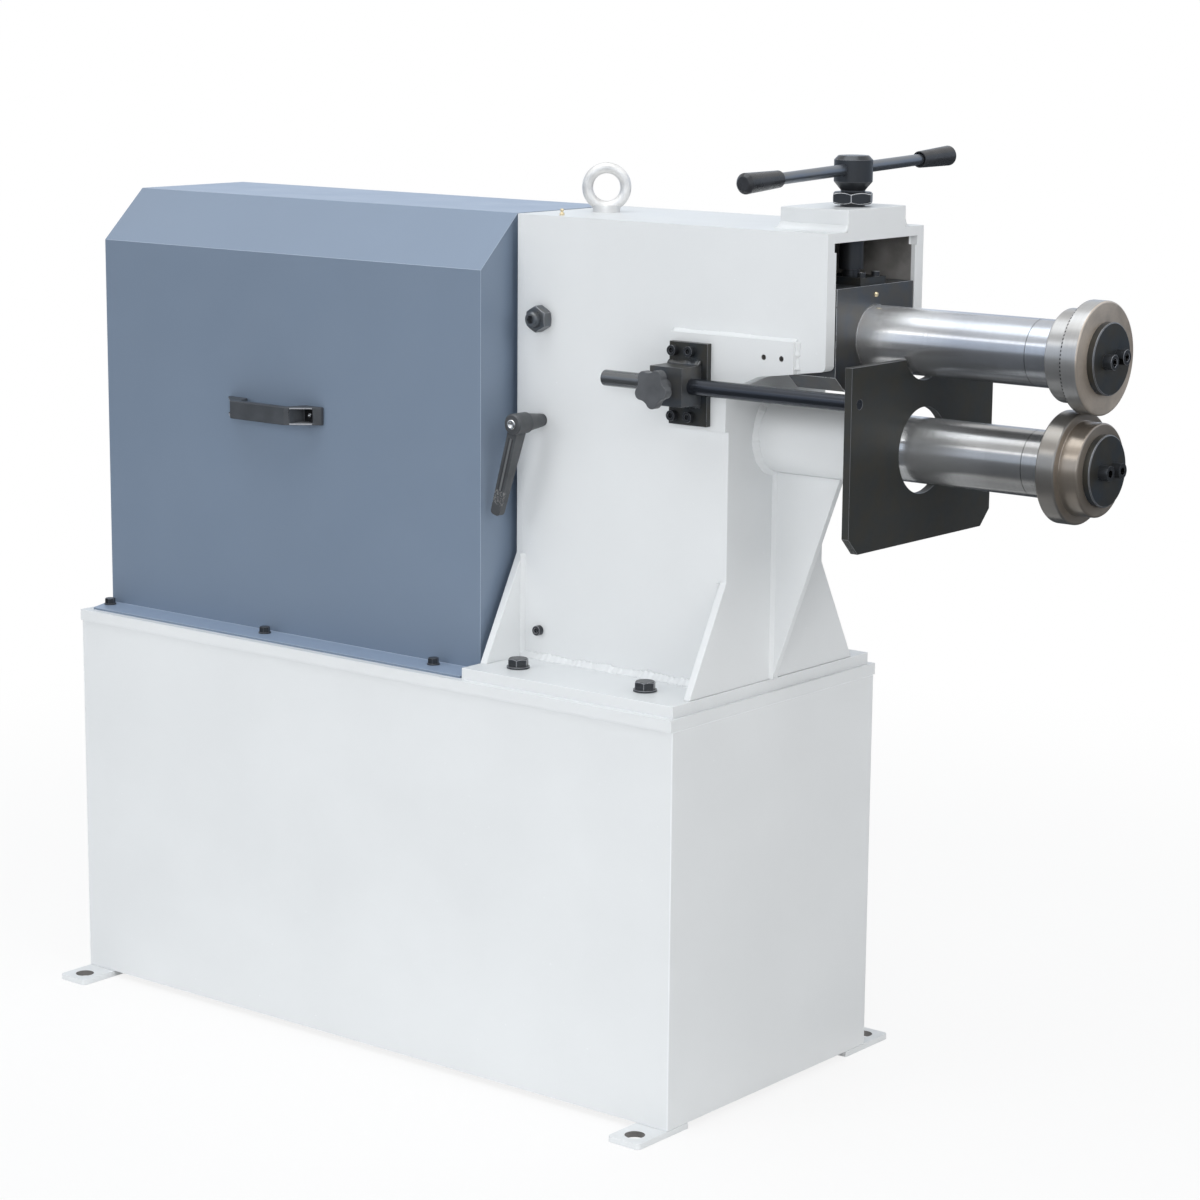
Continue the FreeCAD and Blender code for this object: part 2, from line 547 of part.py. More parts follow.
# Side plates with the overhanging nose, each with a corner relief under the top plate
side_outline = [("side_start", "base_top"), ("side_end", "base_top"), ("side_end", "nose_root"),
                ("nose_knee_x", "nose_knee_z"), ("nose_front", "nose_root + nose_tip_rise"),
                ("nose_front", "frame_top"), ("side_start", "frame_top")]
nose_tip = Vector(number("nose_front"), 0, number("nose_root + nose_tip_rise"))
for name, low, high, relief in (
        ("right_side_plate", "-outer_half", "-inner_half",
         ("-inner_half - relief_width", "-inner_half + overrun")),
        ("left_side_plate", "inner_half", "outer_half",
         ("inner_half - overrun", "inner_half + relief_width"))):
    blank = plate(name + "_blank", "XZ", side_outline, low, high)
    round_edges(blank, name + "_nose", "nose_corner",
                lambda middle, edge: abs(middle.x - nose_tip.x) < 0.01
                and abs(middle.z - nose_tip.z) < 0.01)
    holes = [cylinder(name + "_pivot_hole", "Y", ("pivot_x", "upper_axis"), low, high,
                      "pivot_diameter / 2 + press_gap")]
    if name == "right_side_plate":
        holes.append(cylinder("lever_hole", "Y", ("pivot_x", "lower_axis"), low, high,
                              "lever_stud_diameter / 2 + hole_room"))
        holes.append(cylinder("plug_hole", "Y", ("frame_start + plug_setback",
                                                 "base_top + plug_rise"), low, high,
                              "small_screw_diameter / 2 + press_gap"))
    holes.append(box(name + "_relief", ("nose_front - relief_length", "nose_front + overrun"),
                     relief, ("frame_top - top_gauge - relief_height", "frame_top - top_gauge")))
    node(name, cut(name, blank, holes))

# Top plate, and the block that the adjusting screw threads into
top_low = "frame_top - top_gauge - overrun"
top_high = "frame_top + overrun"
top_tools = [cylinder("spindle_passage", "Z", ("spindle_x", "0"), top_low, top_high,
                      "spindle_diameter / 2 + top_hole_room"),
             cylinder("eye_thread", "Z", ("eye_x", "0"), top_low, top_high,
                      "eye_shank_diameter / 2 + press_gap")]
node("frame_top_plate", cut(
    "frame_top_plate",
    box("top_blank", ("side_start", "nose_front"), ("-inner_half", "inner_half"),
        ("frame_top - top_gauge", "frame_top")), top_tools))
node("screw_boss_block", cut(
    "screw_boss_block",
    box("boss_blank", ("nose_front - boss_length", "nose_front"),
        ("-boss_width / 2", "boss_width / 2"), ("frame_top", "boss_top")),
    [cylinder("boss_thread", "Z", ("spindle_x", "0"), "frame_top - overrun",
              "boss_top + overrun", "spindle_diameter / 2 + thread_gap")]))

# Tube that carries the lower shaft in front of the frame, with the rib under it
node("lower_shaft_tube", cut(
    "lower_shaft_tube",
    cylinder("tube_outside", "X", ("0", "lower_axis"), "frame_front", "tube_end", "tube_radius"),
    [cylinder("tube_inside", "X", ("0", "lower_axis"), "frame_front - overrun",
              "tube_end + overrun", "tube_bore_radius")]))
tube_bottom = "lower_axis - tube_radius"
node("front_gusset", plate(
    "front_gusset", "XZ",
    [("frame_front", "base_top"), ("base_end", "base_top"),
     ("frame_front + gusset_length", tube_bottom), ("frame_front", tube_bottom)],
    "-gusset_gauge / 2", "gusset_gauge / 2"))

# Gauge pad welded to the right side plate, with two tapped holes for accessories
pad_slope = "nose_root + nose_knee_rise * pad_step_run / nose_knee_run"
pad_outline = [
    ("pad_x", "pad_bottom"), ("pad_step_x", "pad_bottom"), ("pad_step_x", pad_slope),
    ("nose_knee_x", "nose_knee_z"),
    ("pad_end", "nose_knee_z + (nose_tip_rise - nose_knee_rise) * (pad_end - nose_knee_x)"
                " / (nose_front - nose_knee_x)"),
    ("pad_end", "pad_top"), ("pad_x", "pad_top")]
accessory_holes = [
    cylinder("accessory_hole_%d" % index, "Y",
             ("accessory_x + %d * accessory_hole_pitch" % index, "accessory_z"),
             "-pad_face - overrun", "-outer_half", "accessory_hole_diameter / 2")
    for index in (0, 1)]
screw_places = [
    ("bracket_x + bracket_screw_inset + %d * bracket_screw_pitch_x" % step,
     "rod_z + %d * bracket_screw_pitch_z / 2" % side) for step in (0, 1) for side in (-1, 1)]
pad_screw_holes = [
    cylinder("pad_screw_hole_%d" % index, "Y", spot, "-pad_face - overrun", "-outer_half",
             "small_screw_diameter / 2 + press_gap") for index, spot in enumerate(screw_places)]
node("gauge_pad", cut(
    "gauge_pad", plate("pad_blank", "XZ", pad_outline, "-pad_face", "-outer_half"),
    accessory_holes + pad_screw_holes))

# Bracket plate, clamp block and the four screws between them and the pad
bracket_holes = [
    cylinder("bracket_hole_%d" % index, "Y", spot, "-bracket_face - overrun",
             "-pad_face + overrun", "small_screw_diameter / 2 + hole_room")
    for index, spot in enumerate(screw_places)]
node("gauge_bracket_plate", cut(
    "gauge_bracket_plate",
    box("bracket_blank", ("bracket_x", "bracket_x + bracket_length"),
        ("-bracket_face", "-pad_face"),
        ("rod_z - bracket_height / 2", "rod_z + bracket_height / 2")),
    bracket_holes))
node("gauge_clamp_block", cut(
    "gauge_clamp_block",
    box("clamp_blank", ("bracket_x", "bracket_x + clamp_length"), ("-clamp_face", "-bracket_face"),
        ("rod_z - clamp_height / 2", "rod_z + clamp_height / 2")),
    [cylinder("rod_bore", "X", ("-rod_y", "rod_z"), "bracket_x - overrun",
              "bracket_x + clamp_length + overrun", "rod_diameter / 2 + running_gap"),
     cylinder("knob_thread", "Y", ("knob_x", "rod_z"), "-clamp_face - overrun", "-rod_y",
              "knob_stud_diameter / 2 + thread_gap")]))
node("bracket_screws", group("bracket_screws", [
    socket_screw("bracket_screw_%d" % index, "Y", spot, "-bracket_face", -1, "small_screw_head",
                 "small_screw_head_diameter", "bracket_gauge + pad_gauge", "small_screw_diameter")
    for index, spot in enumerate(screw_places)]))

# Gauge rod with the spigot that holds the stop plate
rod_radius = "rod_diameter / 2"
spigot_radius = "rod_spigot_diameter / 2"
node("gauge_rod", turned(
    "gauge_rod", "X",
    [("bracket_x - rod_back", "0"), ("bracket_x - rod_back", rod_radius + " - rod_edge"),
     ("bracket_x - rod_back + rod_edge", rod_radius), ("stop_start", rod_radius),
     ("stop_start", spigot_radius), ("stop_back", spigot_radius), ("stop_back", "0")],
    ("-rod_y", "rod_z")))
half_stop = "stop_width / 2"
node("stop_plate", cut(
    "stop_plate",
    plate("stop_blank", "YZ",
          [("-%s + stop_chamfer" % half_stop, "stop_bottom"),
           ("%s - stop_chamfer" % half_stop, "stop_bottom"),
           (half_stop, "stop_bottom + stop_chamfer"), (half_stop, "stop_top"),
           ("-" + half_stop, "stop_top"), ("-" + half_stop, "stop_bottom + stop_chamfer")],
          "stop_start", "stop_back"),
    [cylinder("stop_hole", "X", ("0", "lower_axis"), "stop_start - overrun",
              "stop_back + overrun", "stop_hole_diameter / 2"),
     cylinder("stop_notch", "X", ("0", "upper_axis"), "stop_start - overrun",
              "stop_back + overrun", "stop_notch_radius"),
     cylinder("stop_rod_hole", "X", ("-rod_y", "rod_z"), "stop_start - overrun",
              "stop_back + overrun", spigot_radius + " + press_gap")]))

# Star knob whose stud presses on the gauge rod: a fluted core with a round lobe between flutes
knob_rim_end = "-(knob_rim_start + knob_rim)"
lobe_circle = "(knob_diameter - knob_lobe_diameter) / 2"
flute_circle = "(knob_diameter / 2 - knob_flute_depth + knob_flute_radius)"
half_lobe = 180 / number("knob_lobes")
knob_flutes = []
knob_lobes = []
for lobe in range(int(number("knob_lobes"))):
    for cylinders, name, share, circle, radius in (
            (knob_lobes, "knob_lobe_%d", 0, lobe_circle, "knob_lobe_diameter / 2"),
            (knob_flutes, "knob_flute_%d", half_lobe, flute_circle, "knob_flute_radius")):
        turn = "((knob_turn + %g) * 1 deg)" % (share + 2 * half_lobe * lobe)
        cylinders.append(cylinder(
            name % lobe, "Y", ("knob_x + %s * cos%s" % (circle, turn),
                               "rod_z + %s * sin%s" % (circle, turn)),
            knob_rim_end, "-knob_rim_start", radius))
knob_core = cut("knob_core", cylinder(
    "knob_core_blank", "Y", ("knob_x", "rod_z"), knob_rim_end, "-knob_rim_start",
    "knob_diameter / 2 - knob_core_inset"), knob_flutes)
knob_neck = cylinder("knob_neck", "Y", ("knob_x", "rod_z"), "-knob_rim_start - overrun",
                     "-knob_neck_start", "knob_neck_diameter / 2")
knob_stud = cylinder("knob_stud", "Y", ("knob_x", "rod_z"), "-knob_neck_start - overrun",
                     "-(rod_y + rod_diameter / 2 + running_gap)", "knob_stud_diameter / 2")
node("star_knob", join("star_knob", [knob_core, knob_neck, knob_stud] + knob_lobes))

# Lifting eye, its ring square to the line from the machine's front right corner
eye_turn = Rotation(Vector(0, 0, 1), number("eye_turn"))
eye_ring = doc.addObject("Part::Torus", "eye_ring")
bind(eye_ring, "Radius1", "eye_ring_diameter / 2")
bind(eye_ring, "Radius2", "eye_wire_diameter / 2")
place(eye_ring, z="eye_rise", rotation=eye_turn * Rotation(Vector(1, 0, 0), 90))
eye_bolt = join("eye_bolt", [
    eye_ring,
    cylinder("eye_collar", "Z", ("0", "0"), "0", "eye_collar_height", "eye_collar_diameter / 2"),
    cylinder("eye_shank", "Z", ("0", "0"), "-eye_shank_length", "overrun",
             "eye_shank_diameter / 2")])
node("eye_bolt", place(eye_bolt, "eye_x", "0", "frame_top"))

# Pivot pins that the upper rear housing rocks on, with their nuts outside the side plates
pins = []
nuts = []
for side in (-1, 1):
    tag = "right" if side < 0 else "left"
    tip = "%d * (outer_half + pivot_stick_out)" % side
    shoulder = "%d * (outer_half + pivot_stick_out - pivot_chamfer)" % side
    root = "%d * (carrier_half - pivot_engagement)" % side
    pin = turned("pin_blank_" + tag, "Y",
                 [(root, "0"), (root, "pivot_diameter / 2"), (shoulder, "pivot_diameter / 2"),
                  (tip, "pivot_diameter / 2 - pivot_chamfer"), (tip, "0")],
                 ("pivot_x", "upper_axis"))
    floor = "%d * (outer_half + pivot_stick_out - pivot_socket_depth)" % side
    past = "%d * (outer_half + pivot_stick_out + overrun)" % side
    low, high = (past, floor) if side < 0 else (floor, past)
    pins.append(cut("pivot_pin_" + tag, pin,
                    [hexagon("pin_socket_" + tag, "Y", ("pivot_x", "upper_axis"), low, high,
                             "pivot_socket_flats")]))
    inner = "%d * outer_half" % side
    outer = "%d * (outer_half + pivot_nut_length)" % side
    low, high = (outer, inner) if side < 0 else (inner, outer)
    nuts.append(cut("pivot_nut_" + tag,
                    chamfered_hexagon("nut_blank_" + tag, "Y", ("pivot_x", "upper_axis"), low,
                                      high, "pivot_nut_flats", True, number("pivot_nut_turn")),
                    [cylinder("nut_thread_" + tag, "Y", ("pivot_x", "upper_axis"), low, high,
                              "pivot_diameter / 2 + press_gap")]))
node("pivot_pins", group("pivot_pins", pins))
node("pivot_nuts", group("pivot_nuts", nuts))
node("plug_bolt", socket_screw(
    "plug_bolt", "Y", ("frame_start + plug_setback", "base_top + plug_rise"), "-outer_half", -1,
    "small_screw_head", "small_screw_head_diameter", "side_gauge - plug_end_gap",
    "small_screw_diameter"))

# Lower bearings: a fixed housing, a sleeve that shifts along it, and a bush in the tube
node("lower_rear_housing", cut(
    "lower_rear_housing",
    box("lower_housing_blank", ("side_start", "lower_housing_end"), ("-inner_half", "inner_half"),
        ("lower_axis - housing_half_height", "lower_axis + housing_half_height")),
    [cylinder("lower_housing_bore", "X", ("0", "lower_axis"), "side_start - overrun",
              "lower_housing_end + overrun", "sleeve_radius + running_gap"),
     cylinder("lower_housing_thread", "Y", ("pivot_x", "lower_axis"), "-inner_half - overrun",
              "0", "lever_stud_diameter / 2 + thread_gap")]))
node("lower_rear_sleeve", cut(
    "lower_rear_sleeve",
    cylinder("sleeve_outside", "X", ("0", "lower_axis"), "sleeve_start", "sleeve_end",
             "sleeve_radius"),
    [cylinder("sleeve_inside", "X", ("0", "lower_axis"), "sleeve_start - overrun",
              "sleeve_end + overrun", "bush_bore_radius")]))


def bush(name, height, start, end):
    """A plain bearing bush in the bore that the tube also has."""
    return node(name, cut(
        name,
        cylinder(name + "_outside", "X", ("0", height), start, end,
                 "tube_bore_radius - press_gap"),
        [cylinder(name + "_inside", "X", ("0", height), "(%s) - overrun" % start,
                  "(%s) + overrun" % end, "bush_bore_radius")]))


bush("lower_front_bush", "lower_axis", "tube_end - front_bush_length", "tube_end")
bush("upper_rear_bush", "upper_axis", "upper_housing_start", "upper_housing_end")
bush("upper_front_bush", "upper_axis", "block_start", "nose_front - block_lip")

# Upper rear housing that rocks on the pivot pins
node("upper_rear_housing", cut(
    "upper_rear_housing",
    box("upper_housing_blank", ("upper_housing_start", "upper_housing_end"),
        ("-carrier_half", "carrier_half"),
        ("upper_axis - housing_half_height", "upper_axis + housing_half_height")),
    [cylinder("upper_housing_bore", "X", ("0", "upper_axis"), "upper_housing_start - overrun",
              "upper_housing_end + overrun", "tube_bore_radius"),
     cylinder("pin_bore_right", "Y", ("pivot_x", "upper_axis"), "-carrier_half - overrun",
              "-(carrier_half - pivot_engagement - face_gap)", "pivot_diameter / 2 + running_gap"),
     cylinder("pin_bore_left", "Y", ("pivot_x", "upper_axis"),
              "carrier_half - pivot_engagement - face_gap", "carrier_half + overrun",
              "pivot_diameter / 2 + running_gap")]))

# Slide block with the pocket for the screw's foot, and the slotted plate that keeps it there
block_outline = [
    ("-carrier_half", "upper_axis - block_side_drop"),
    ("-(carrier_half - block_chamfer)", "upper_axis - block_belly_drop"),
    ("carrier_half - block_chamfer", "upper_axis - block_belly_drop"),
    ("carrier_half", "upper_axis - block_side_drop"),
    ("carrier_half", "block_top"), ("-carrier_half", "block_top")]
retainer_screw_places = [("retainer_screw_x", "%d * retainer_screw_pitch / 2" % side)
                         for side in (-1, 1)]
block_tools = [
    cylinder("block_bore", "X", ("0", "upper_axis"), "block_start - overrun",
             "nose_front - block_lip", "tube_bore_radius"),
    cylinder("block_mouth", "X", ("0", "upper_axis"), "block_start", "nose_front + overrun",
             "bush_bore_radius + hole_room"),
    cylinder("block_pocket", "Z", ("spindle_x", "0"), "pocket_floor", "block_top + overrun",
             "washer_diameter / 2 + pocket_room")]
slot_half = "(spindle_neck_diameter / 2 + pocket_room)"
retainer_tools = [
    cylinder("neck_slot_end", "Z", ("spindle_x", "0"), "block_top - overrun",
             "retainer_top + overrun", slot_half),
    box("neck_slot", ("retainer_end - retainer_length - overrun", "spindle_x"),
        ("-" + slot_half, slot_half), ("block_top - overrun", "retainer_top + overrun"))]
for index, spot in enumerate(retainer_screw_places):
    block_tools.append(cylinder("block_screw_hole_%d" % index, "Z", spot,
                                "retainer_top - retainer_screw_depth - overrun",
                                "block_top + overrun",
                                "retainer_screw_diameter / 2 + press_gap"))
    retainer_tools.append(cylinder("retainer_hole_%d" % index, "Z", spot, "block_top - overrun",
                                   "retainer_top + overrun",
                                   "retainer_screw_diameter / 2 + hole_room"))
node("slide_block", cut(
    "slide_block", plate("block_blank", "YZ", block_outline, "block_start", "nose_front"),
    block_tools))
node("spindle_retainer_plate", cut(
    "spindle_retainer_plate",
    box("retainer_blank", ("retainer_end - retainer_length", "retainer_end"),
        ("-retainer_width / 2", "retainer_width / 2"), ("block_top", "retainer_top")),
    retainer_tools))
node("retainer_screws", group("retainer_screws", [
    socket_screw("retainer_screw_%d" % index, "Z", spot, "retainer_top", 1, "retainer_screw_head",
                 "retainer_screw_head_diameter", "retainer_screw_depth",
                 "retainer_screw_diameter")
    for index, spot in enumerate(retainer_screw_places)]))


def shaft(name, height, tail):
    """A roll shaft: gear seat at the back, a collar, the bearings, and an arbor for the roll."""
    radius = "shaft_diameter / 2"
    arbor = "arbor_diameter / 2"
    collar = "sleeve_end + face_gap" if tail else "upper_housing_end + face_gap"
    profile = [("shaft_back", "0"), ("shaft_back", radius)]
    if tail:
        profile = [("tail_end", "0"), ("tail_end", "tail_diameter / 2"),
                   ("shaft_back", "tail_diameter / 2"), ("shaft_back", radius)]
    profile += [(collar, radius), (collar, radius + " + collar_step"),
                (collar + " + collar_width", radius + " + collar_step"),
                (collar + " + collar_width", radius), ("shaft_end", radius), ("shaft_end", arbor),
                ("die_end - arbor_short", arbor), ("die_end - arbor_short", "0")]
    return turned(name + "_blank", "X", profile, ("0", height))


def cap_screw_places(height, turn):
    """Centres of the two screws in the cap disc at a shaft's end."""
    reach = "cap_screw_pitch / 2"
    return [("%d * %s * cos(%s * 1 deg)" % (side, reach, turn),
             "%s + %d * %s * sin(%s * 1 deg)" % (height, side, reach, turn)) for side in (-1, 1)]


def roll_end(prefix, height, turn, tail):
    """Shaft, spacer ring, cap disc and cap screws of one roll."""
    spots = cap_screw_places(height, turn)
    threads = [cylinder("%s_thread_%d" % (prefix, index), "X", spot,
                        "die_end - cap_screw_depth - cap_thread_extra", "die_end",
                        "cap_screw_diameter / 2 + press_gap") for index, spot in enumerate(spots)]
    node(prefix + "_shaft", cut(prefix + "_shaft", shaft(prefix, height, tail), threads))
    node(prefix + "_spacer_ring", cut(
        prefix + "_spacer_ring",
        cylinder(prefix + "_spacer_outside", "X", ("0", height), "shaft_end", "die_start",
                 "shaft_diameter / 2"),
        [cylinder(prefix + "_spacer_bore", "X", ("0", height), "shaft_end - overrun",
                  "die_start + overrun", "arbor_diameter / 2 + press_gap")]))
    node(prefix + "_cap_disc", cut(
        prefix + "_cap_disc",
        turned(prefix + "_cap_blank", "X",
               [("die_end", "0"), ("die_end", "cap_diameter / 2"),
                ("cap_end - cap_edge", "cap_diameter / 2"),
                ("cap_end", "cap_diameter / 2 - cap_edge"), ("cap_end", "0")], ("0", height)),
        [cylinder("%s_cap_hole_%d" % (prefix, index), "X", spot, "die_end - overrun",
                  "cap_end + overrun", "cap_screw_diameter / 2 + hole_room")
         for index, spot in enumerate(spots)]))
    node(prefix + "_cap_screws", group(prefix + "_cap_screws", [
        socket_screw("%s_cap_screw_%d" % (prefix, index), "X", spot, "cap_end", 1, "cap_head",
                     "cap_head_diameter", "cap_gauge + cap_screw_depth", "cap_screw_diameter")
        for index, spot in enumerate(spots)]))


roll_end("lower", "lower_axis", "0", True)
roll_end("upper", "upper_axis", "cap_screw_turn", False)

# Rolls: each has a wide and a narrow part that face each other
bore = "arbor_diameter / 2 + press_gap"
chamfer = "die_chamfer"
seam = "die_start + upper_narrow_width"
node("upper_die", turned(
    "upper_die", "X",
    [("die_start", bore), ("die_start", "upper_narrow_radius - " + chamfer),
     ("die_start + " + chamfer, "upper_narrow_radius"), (seam, "upper_narrow_radius"),
     (seam, "wide_radius - " + chamfer), (seam + " + " + chamfer, "wide_radius"),
     ("die_end - " + chamfer, "wide_radius"), ("die_end", "wide_radius - " + chamfer),
     ("die_end", bore)], ("0", "upper_axis")))
seam = "die_start + lower_narrow_width"
node("lower_die", turned(
    "lower_die", "X",
    [("die_start", bore), ("die_start", "wide_radius - " + chamfer),
     ("die_start + " + chamfer, "wide_radius"), (seam + " - " + chamfer, "wide_radius"),
     (seam, "wide_radius - " + chamfer), (seam, "lower_narrow_radius"),
     ("die_end - " + chamfer, "lower_narrow_radius"),
     ("die_end", "lower_narrow_radius - " + chamfer), ("die_end", bore)], ("0", "lower_axis")))


def gear(name, height, hub_radius, hub_end, turn):
    """A spur gear with a hub towards the frame; turn is its rotation about the shaft."""
    body = doc.addObject("PartDesign::Body", name + "_teeth")
    disc = sketch(body, name + "_disc", "XZ",
                  [("gear_back", "0"), ("gear_back", "tip_radius"),
                   ("gear_front", "tip_radius"), ("gear_front", "0")])
    blank = body.newObject("PartDesign::Revolution", name + "_blank")
    blank.Profile = disc
    blank.ReferenceAxis = (disc, ["H_Axis"])
    blank.Angle = 360
    gap = sketch(body, name + "_gap", "YZ",
                 [("-gap_root_half_width", "root_radius"), ("gap_root_half_width", "root_radius"),
                  ("gap_pitch_half_width", "pitch_radius"),
                  ("gap_mouth_half_width", "tip_radius + gap_overshoot"),
                  ("-gap_mouth_half_width", "tip_radius + gap_overshoot"),
                  ("-gap_pitch_half_width", "pitch_radius")], "gear_back - overrun")
    doc.recompute()
    pocket = body.newObject("PartDesign::Pocket", name + "_pocket")
    pocket.Profile = gap
    pocket.Reversed = True
    bind(pocket, "Length", "gear_width + 2 * overrun")
    doc.recompute()
    pattern = body.newObject("PartDesign::PolarPattern", name + "_pattern")
    pattern.Originals = [pocket]
    planes = {feature.Role: feature for feature in body.Origin.OriginFeatures}
    pattern.Axis = (planes["X_Axis"], [""])
    pattern.Angle = 360
    pattern.Occurrences = int(number("gear_teeth"))
    body.Tip = pattern
    place(body, "0", "0", height, Rotation(Vector(1, 0, 0), turn))
    hub = cylinder(name + "_hub", "X", ("0", height), "gear_front - overrun", hub_end, hub_radius)
    hole = cylinder(name + "_bore", "X", ("0", height), "gear_back - overrun",
                    "(%s) + overrun" % hub_end, "shaft_diameter / 2 + press_gap")
    return node(name, cut(name, join(name + "_solid", [body, hub]), [hole]))


half_tooth = 180 / number("gear_teeth")
gear("upper_gear", "upper_axis", "upper_hub_radius", "upper_housing_start - face_gap", 0)
gear("lower_gear", "lower_axis", "lower_hub_radius", "sleeve_start - face_gap", half_tooth)

# Adjusting screw: a foot in the slide block, the thread, and the hub for the cross handle
foot_radius = "foot_flange_diameter / 2"
neck_radius = "spindle_neck_diameter / 2"
thread_radius = "spindle_diameter / 2"
neck_top = "block_top + neck_rise"
cone_top = "hub_bottom + hub_cone_height"
screw_blank = turned(
    "screw_blank", "Z",
    [("foot_bottom", "0"), ("foot_bottom", foot_radius), ("foot_top", foot_radius),
     ("foot_top", neck_radius), (neck_top, neck_radius), (neck_top, thread_radius),
     ("hub_bottom", thread_radius), ("hub_bottom", "hub_cone_diameter / 2"),
     (cone_top, "hub_diameter / 2"), ("hub_top - hub_chamfer", "hub_diameter / 2"),
     ("hub_top", "hub_diameter / 2 - hub_chamfer"), ("hub_top", "0")], ("spindle_x", "0"))
tilt = Rotation(Vector(1, 0, 0), number("handle_tilt"))


def along_handle(item):
    """Turn an object made along Y onto the tilted cross handle."""
    return place(item, "spindle_x", "0", "handle_z", tilt)


def handle_rod(name, start, end, radius):
    """A round bar on the cross handle's axis."""
    item = turned(name, "Y", [(start, "0"), (start, radius), (end, radius), (end, "0")],
                  ("0", "0"))
    return along_handle(item)


handle_radius = "handle_diameter / 2"
node("adjusting_screw", cut(
    "adjusting_screw", screw_blank,
    [handle_rod("handle_hole", "-hub_diameter", "hub_diameter", handle_radius + " + thread_gap")]))
node("thrust_washer", cylinder("thrust_washer", "Z", ("spindle_x", "0"), "washer_bottom",
                               "washer_top", "washer_diameter / 2"))
node("t_handle_bar", handle_rod("t_handle_bar", "-(handle_long_end - grip_cap)",
                                "handle_short_end - grip_cap", handle_radius))
grips = []
for side, end in ((-1, "handle_long_end"), (1, "handle_short_end")):
    outer = "%d * %s" % (side, end)
    shoulder = "%d * (%s - grip_end_round)" % (side, end)
    floor = "%d * (%s - grip_cap)" % (side, end)
    mouth = "%d * (%s - grip_length + grip_mouth_depth)" % (side, end)
    inner = "%d * (%s - grip_length)" % (side, end)
    grips.append(along_handle(turned(
        "grip_%s" % ("right" if side < 0 else "left"), "Y",
        [(outer, "0"), (outer, "grip_outer_diameter / 2 - grip_end_round"),
         (shoulder, "grip_outer_diameter / 2"), (inner, "grip_inner_diameter / 2"),
         (inner, "grip_mouth_diameter / 2"), (mouth, "grip_mouth_diameter / 2"),
         (mouth, handle_radius + " + press_gap"), (floor, handle_radius + " + press_gap"),
         (floor, "0")], ("0", "0"))))
node("t_handle_grips", group("t_handle_grips", grips))
node("jam_nut", cut(
    "jam_nut",
    chamfered_hexagon("jam_nut_blank", "Z", ("spindle_x", "0"), "jam_nut_bottom",
                      "jam_nut_top", "jam_nut_flats", both_ends=True),
    [cylinder("jam_nut_thread", "Z", ("spindle_x", "0"), "jam_nut_bottom - overrun",
              "jam_nut_top + overrun", thread_radius + " + thread_gap")]))

# Clamp lever: a stud that presses on the sleeve, a hub, and a tapered arm hanging from it
stud_tip = "-(sleeve_radius + running_gap)"
lever_turn = turned(
    "lever_turned", "Y",
    [(stud_tip, "0"), (stud_tip, "lever_stud_diameter / 2"),
     ("-outer_half - lever_skirt_gap", "lever_stud_diameter / 2"),
     ("-outer_half - lever_skirt_gap", "lever_skirt_tip / 2"),
     ("-lever_hub_start", "lever_skirt_root / 2"),
     ("-lever_hub_start", "lever_hub_diameter / 2 - lever_hub_edge"),
     ("-lever_hub_start - lever_hub_edge", "lever_hub_diameter / 2"),
     ("-lever_hub_end + lever_hub_chamfer", "lever_hub_diameter / 2"),
     ("-lever_hub_end", "lever_hub_diameter / 2 - lever_hub_chamfer"), ("-lever_hub_end", "0")],
    ("pivot_x", "lower_axis"))
arm_middle = "-lever_arm_middle"
lever_arm = plate(
    "lever_arm", "YZ",
    [(arm_middle + " - lever_root_depth / 2", "0"), (arm_middle + " - lever_tip_depth / 2",
                                                     "-lever_arm_length"),
     (arm_middle + " + lever_tip_depth / 2", "-lever_arm_length"),
     (arm_middle + " + lever_root_depth / 2", "0")],
    "-lever_arm_width / 2", "lever_arm_width / 2")
arm_end = -number("lever_arm_length")
round_edges(lever_arm, "lever_tip", "lever_tip_round",
            lambda middle, edge: abs(middle.z - arm_end) < 0.01 and abs(middle.x) > 0.01)
place(lever_arm, "pivot_x", "0", "lower_axis",
      Rotation(Vector(0, 1, 0), number("lever_lean")))
node("clamp_lever", join("clamp_lever", [lever_turn, lever_arm]))

# Gearmotor on its pedestal; the lower shaft's tail runs in the gearbox's hollow shaft
axis_spot = ("0", "lower_axis")
node("gearbox_case", cut(
    "gearbox_case",
    box("gearbox_blank", ("gearbox_start", "gearbox_end"),
        ("-gearbox_width / 2", "gearbox_width / 2"), ("gearbox_bottom", "gearbox_top")),
    [cylinder("gearbox_bore", "X", axis_spot, "gearbox_bore_end", "gearbox_end + overrun",
              "hollow_shaft_diameter / 2 + running_gap"),
     cylinder("pinion_bore", "X", axis_spot, "gearbox_start - overrun",
              "gearbox_start + pinion_bore_depth", "motor_shaft_diameter / 2 + running_gap")]))
node("gearbox_hollow_shaft", cut(
    "gearbox_hollow_shaft",
    cylinder("hollow_outside", "X", axis_spot, "hollow_start", "hollow_end",
             "hollow_shaft_diameter / 2"),
    [cylinder("hollow_inside", "X", axis_spot, "hollow_start - overrun",
              "hollow_end + overrun", "tail_diameter / 2 + running_gap")]))
half_pedestal = "pedestal_width / 2"
inner_pedestal = "(pedestal_width / 2 - pedestal_wall)"
node("motor_pedestal", plate(
    "motor_pedestal", "YZ",
    [("-" + half_pedestal, "deck_top"), ("-" + half_pedestal, "gearbox_bottom"),
     (half_pedestal, "gearbox_bottom"), (half_pedestal, "deck_top"),
     (inner_pedestal, "deck_top"), (inner_pedestal, "gearbox_bottom - pedestal_wall"),
     ("-" + inner_pedestal, "gearbox_bottom - pedestal_wall"), ("-" + inner_pedestal, "deck_top")],
    "gearbox_start + pedestal_inset", "gearbox_end - pedestal_inset"))
shield_room = "motor_shaft_diameter / 2 + running_gap"
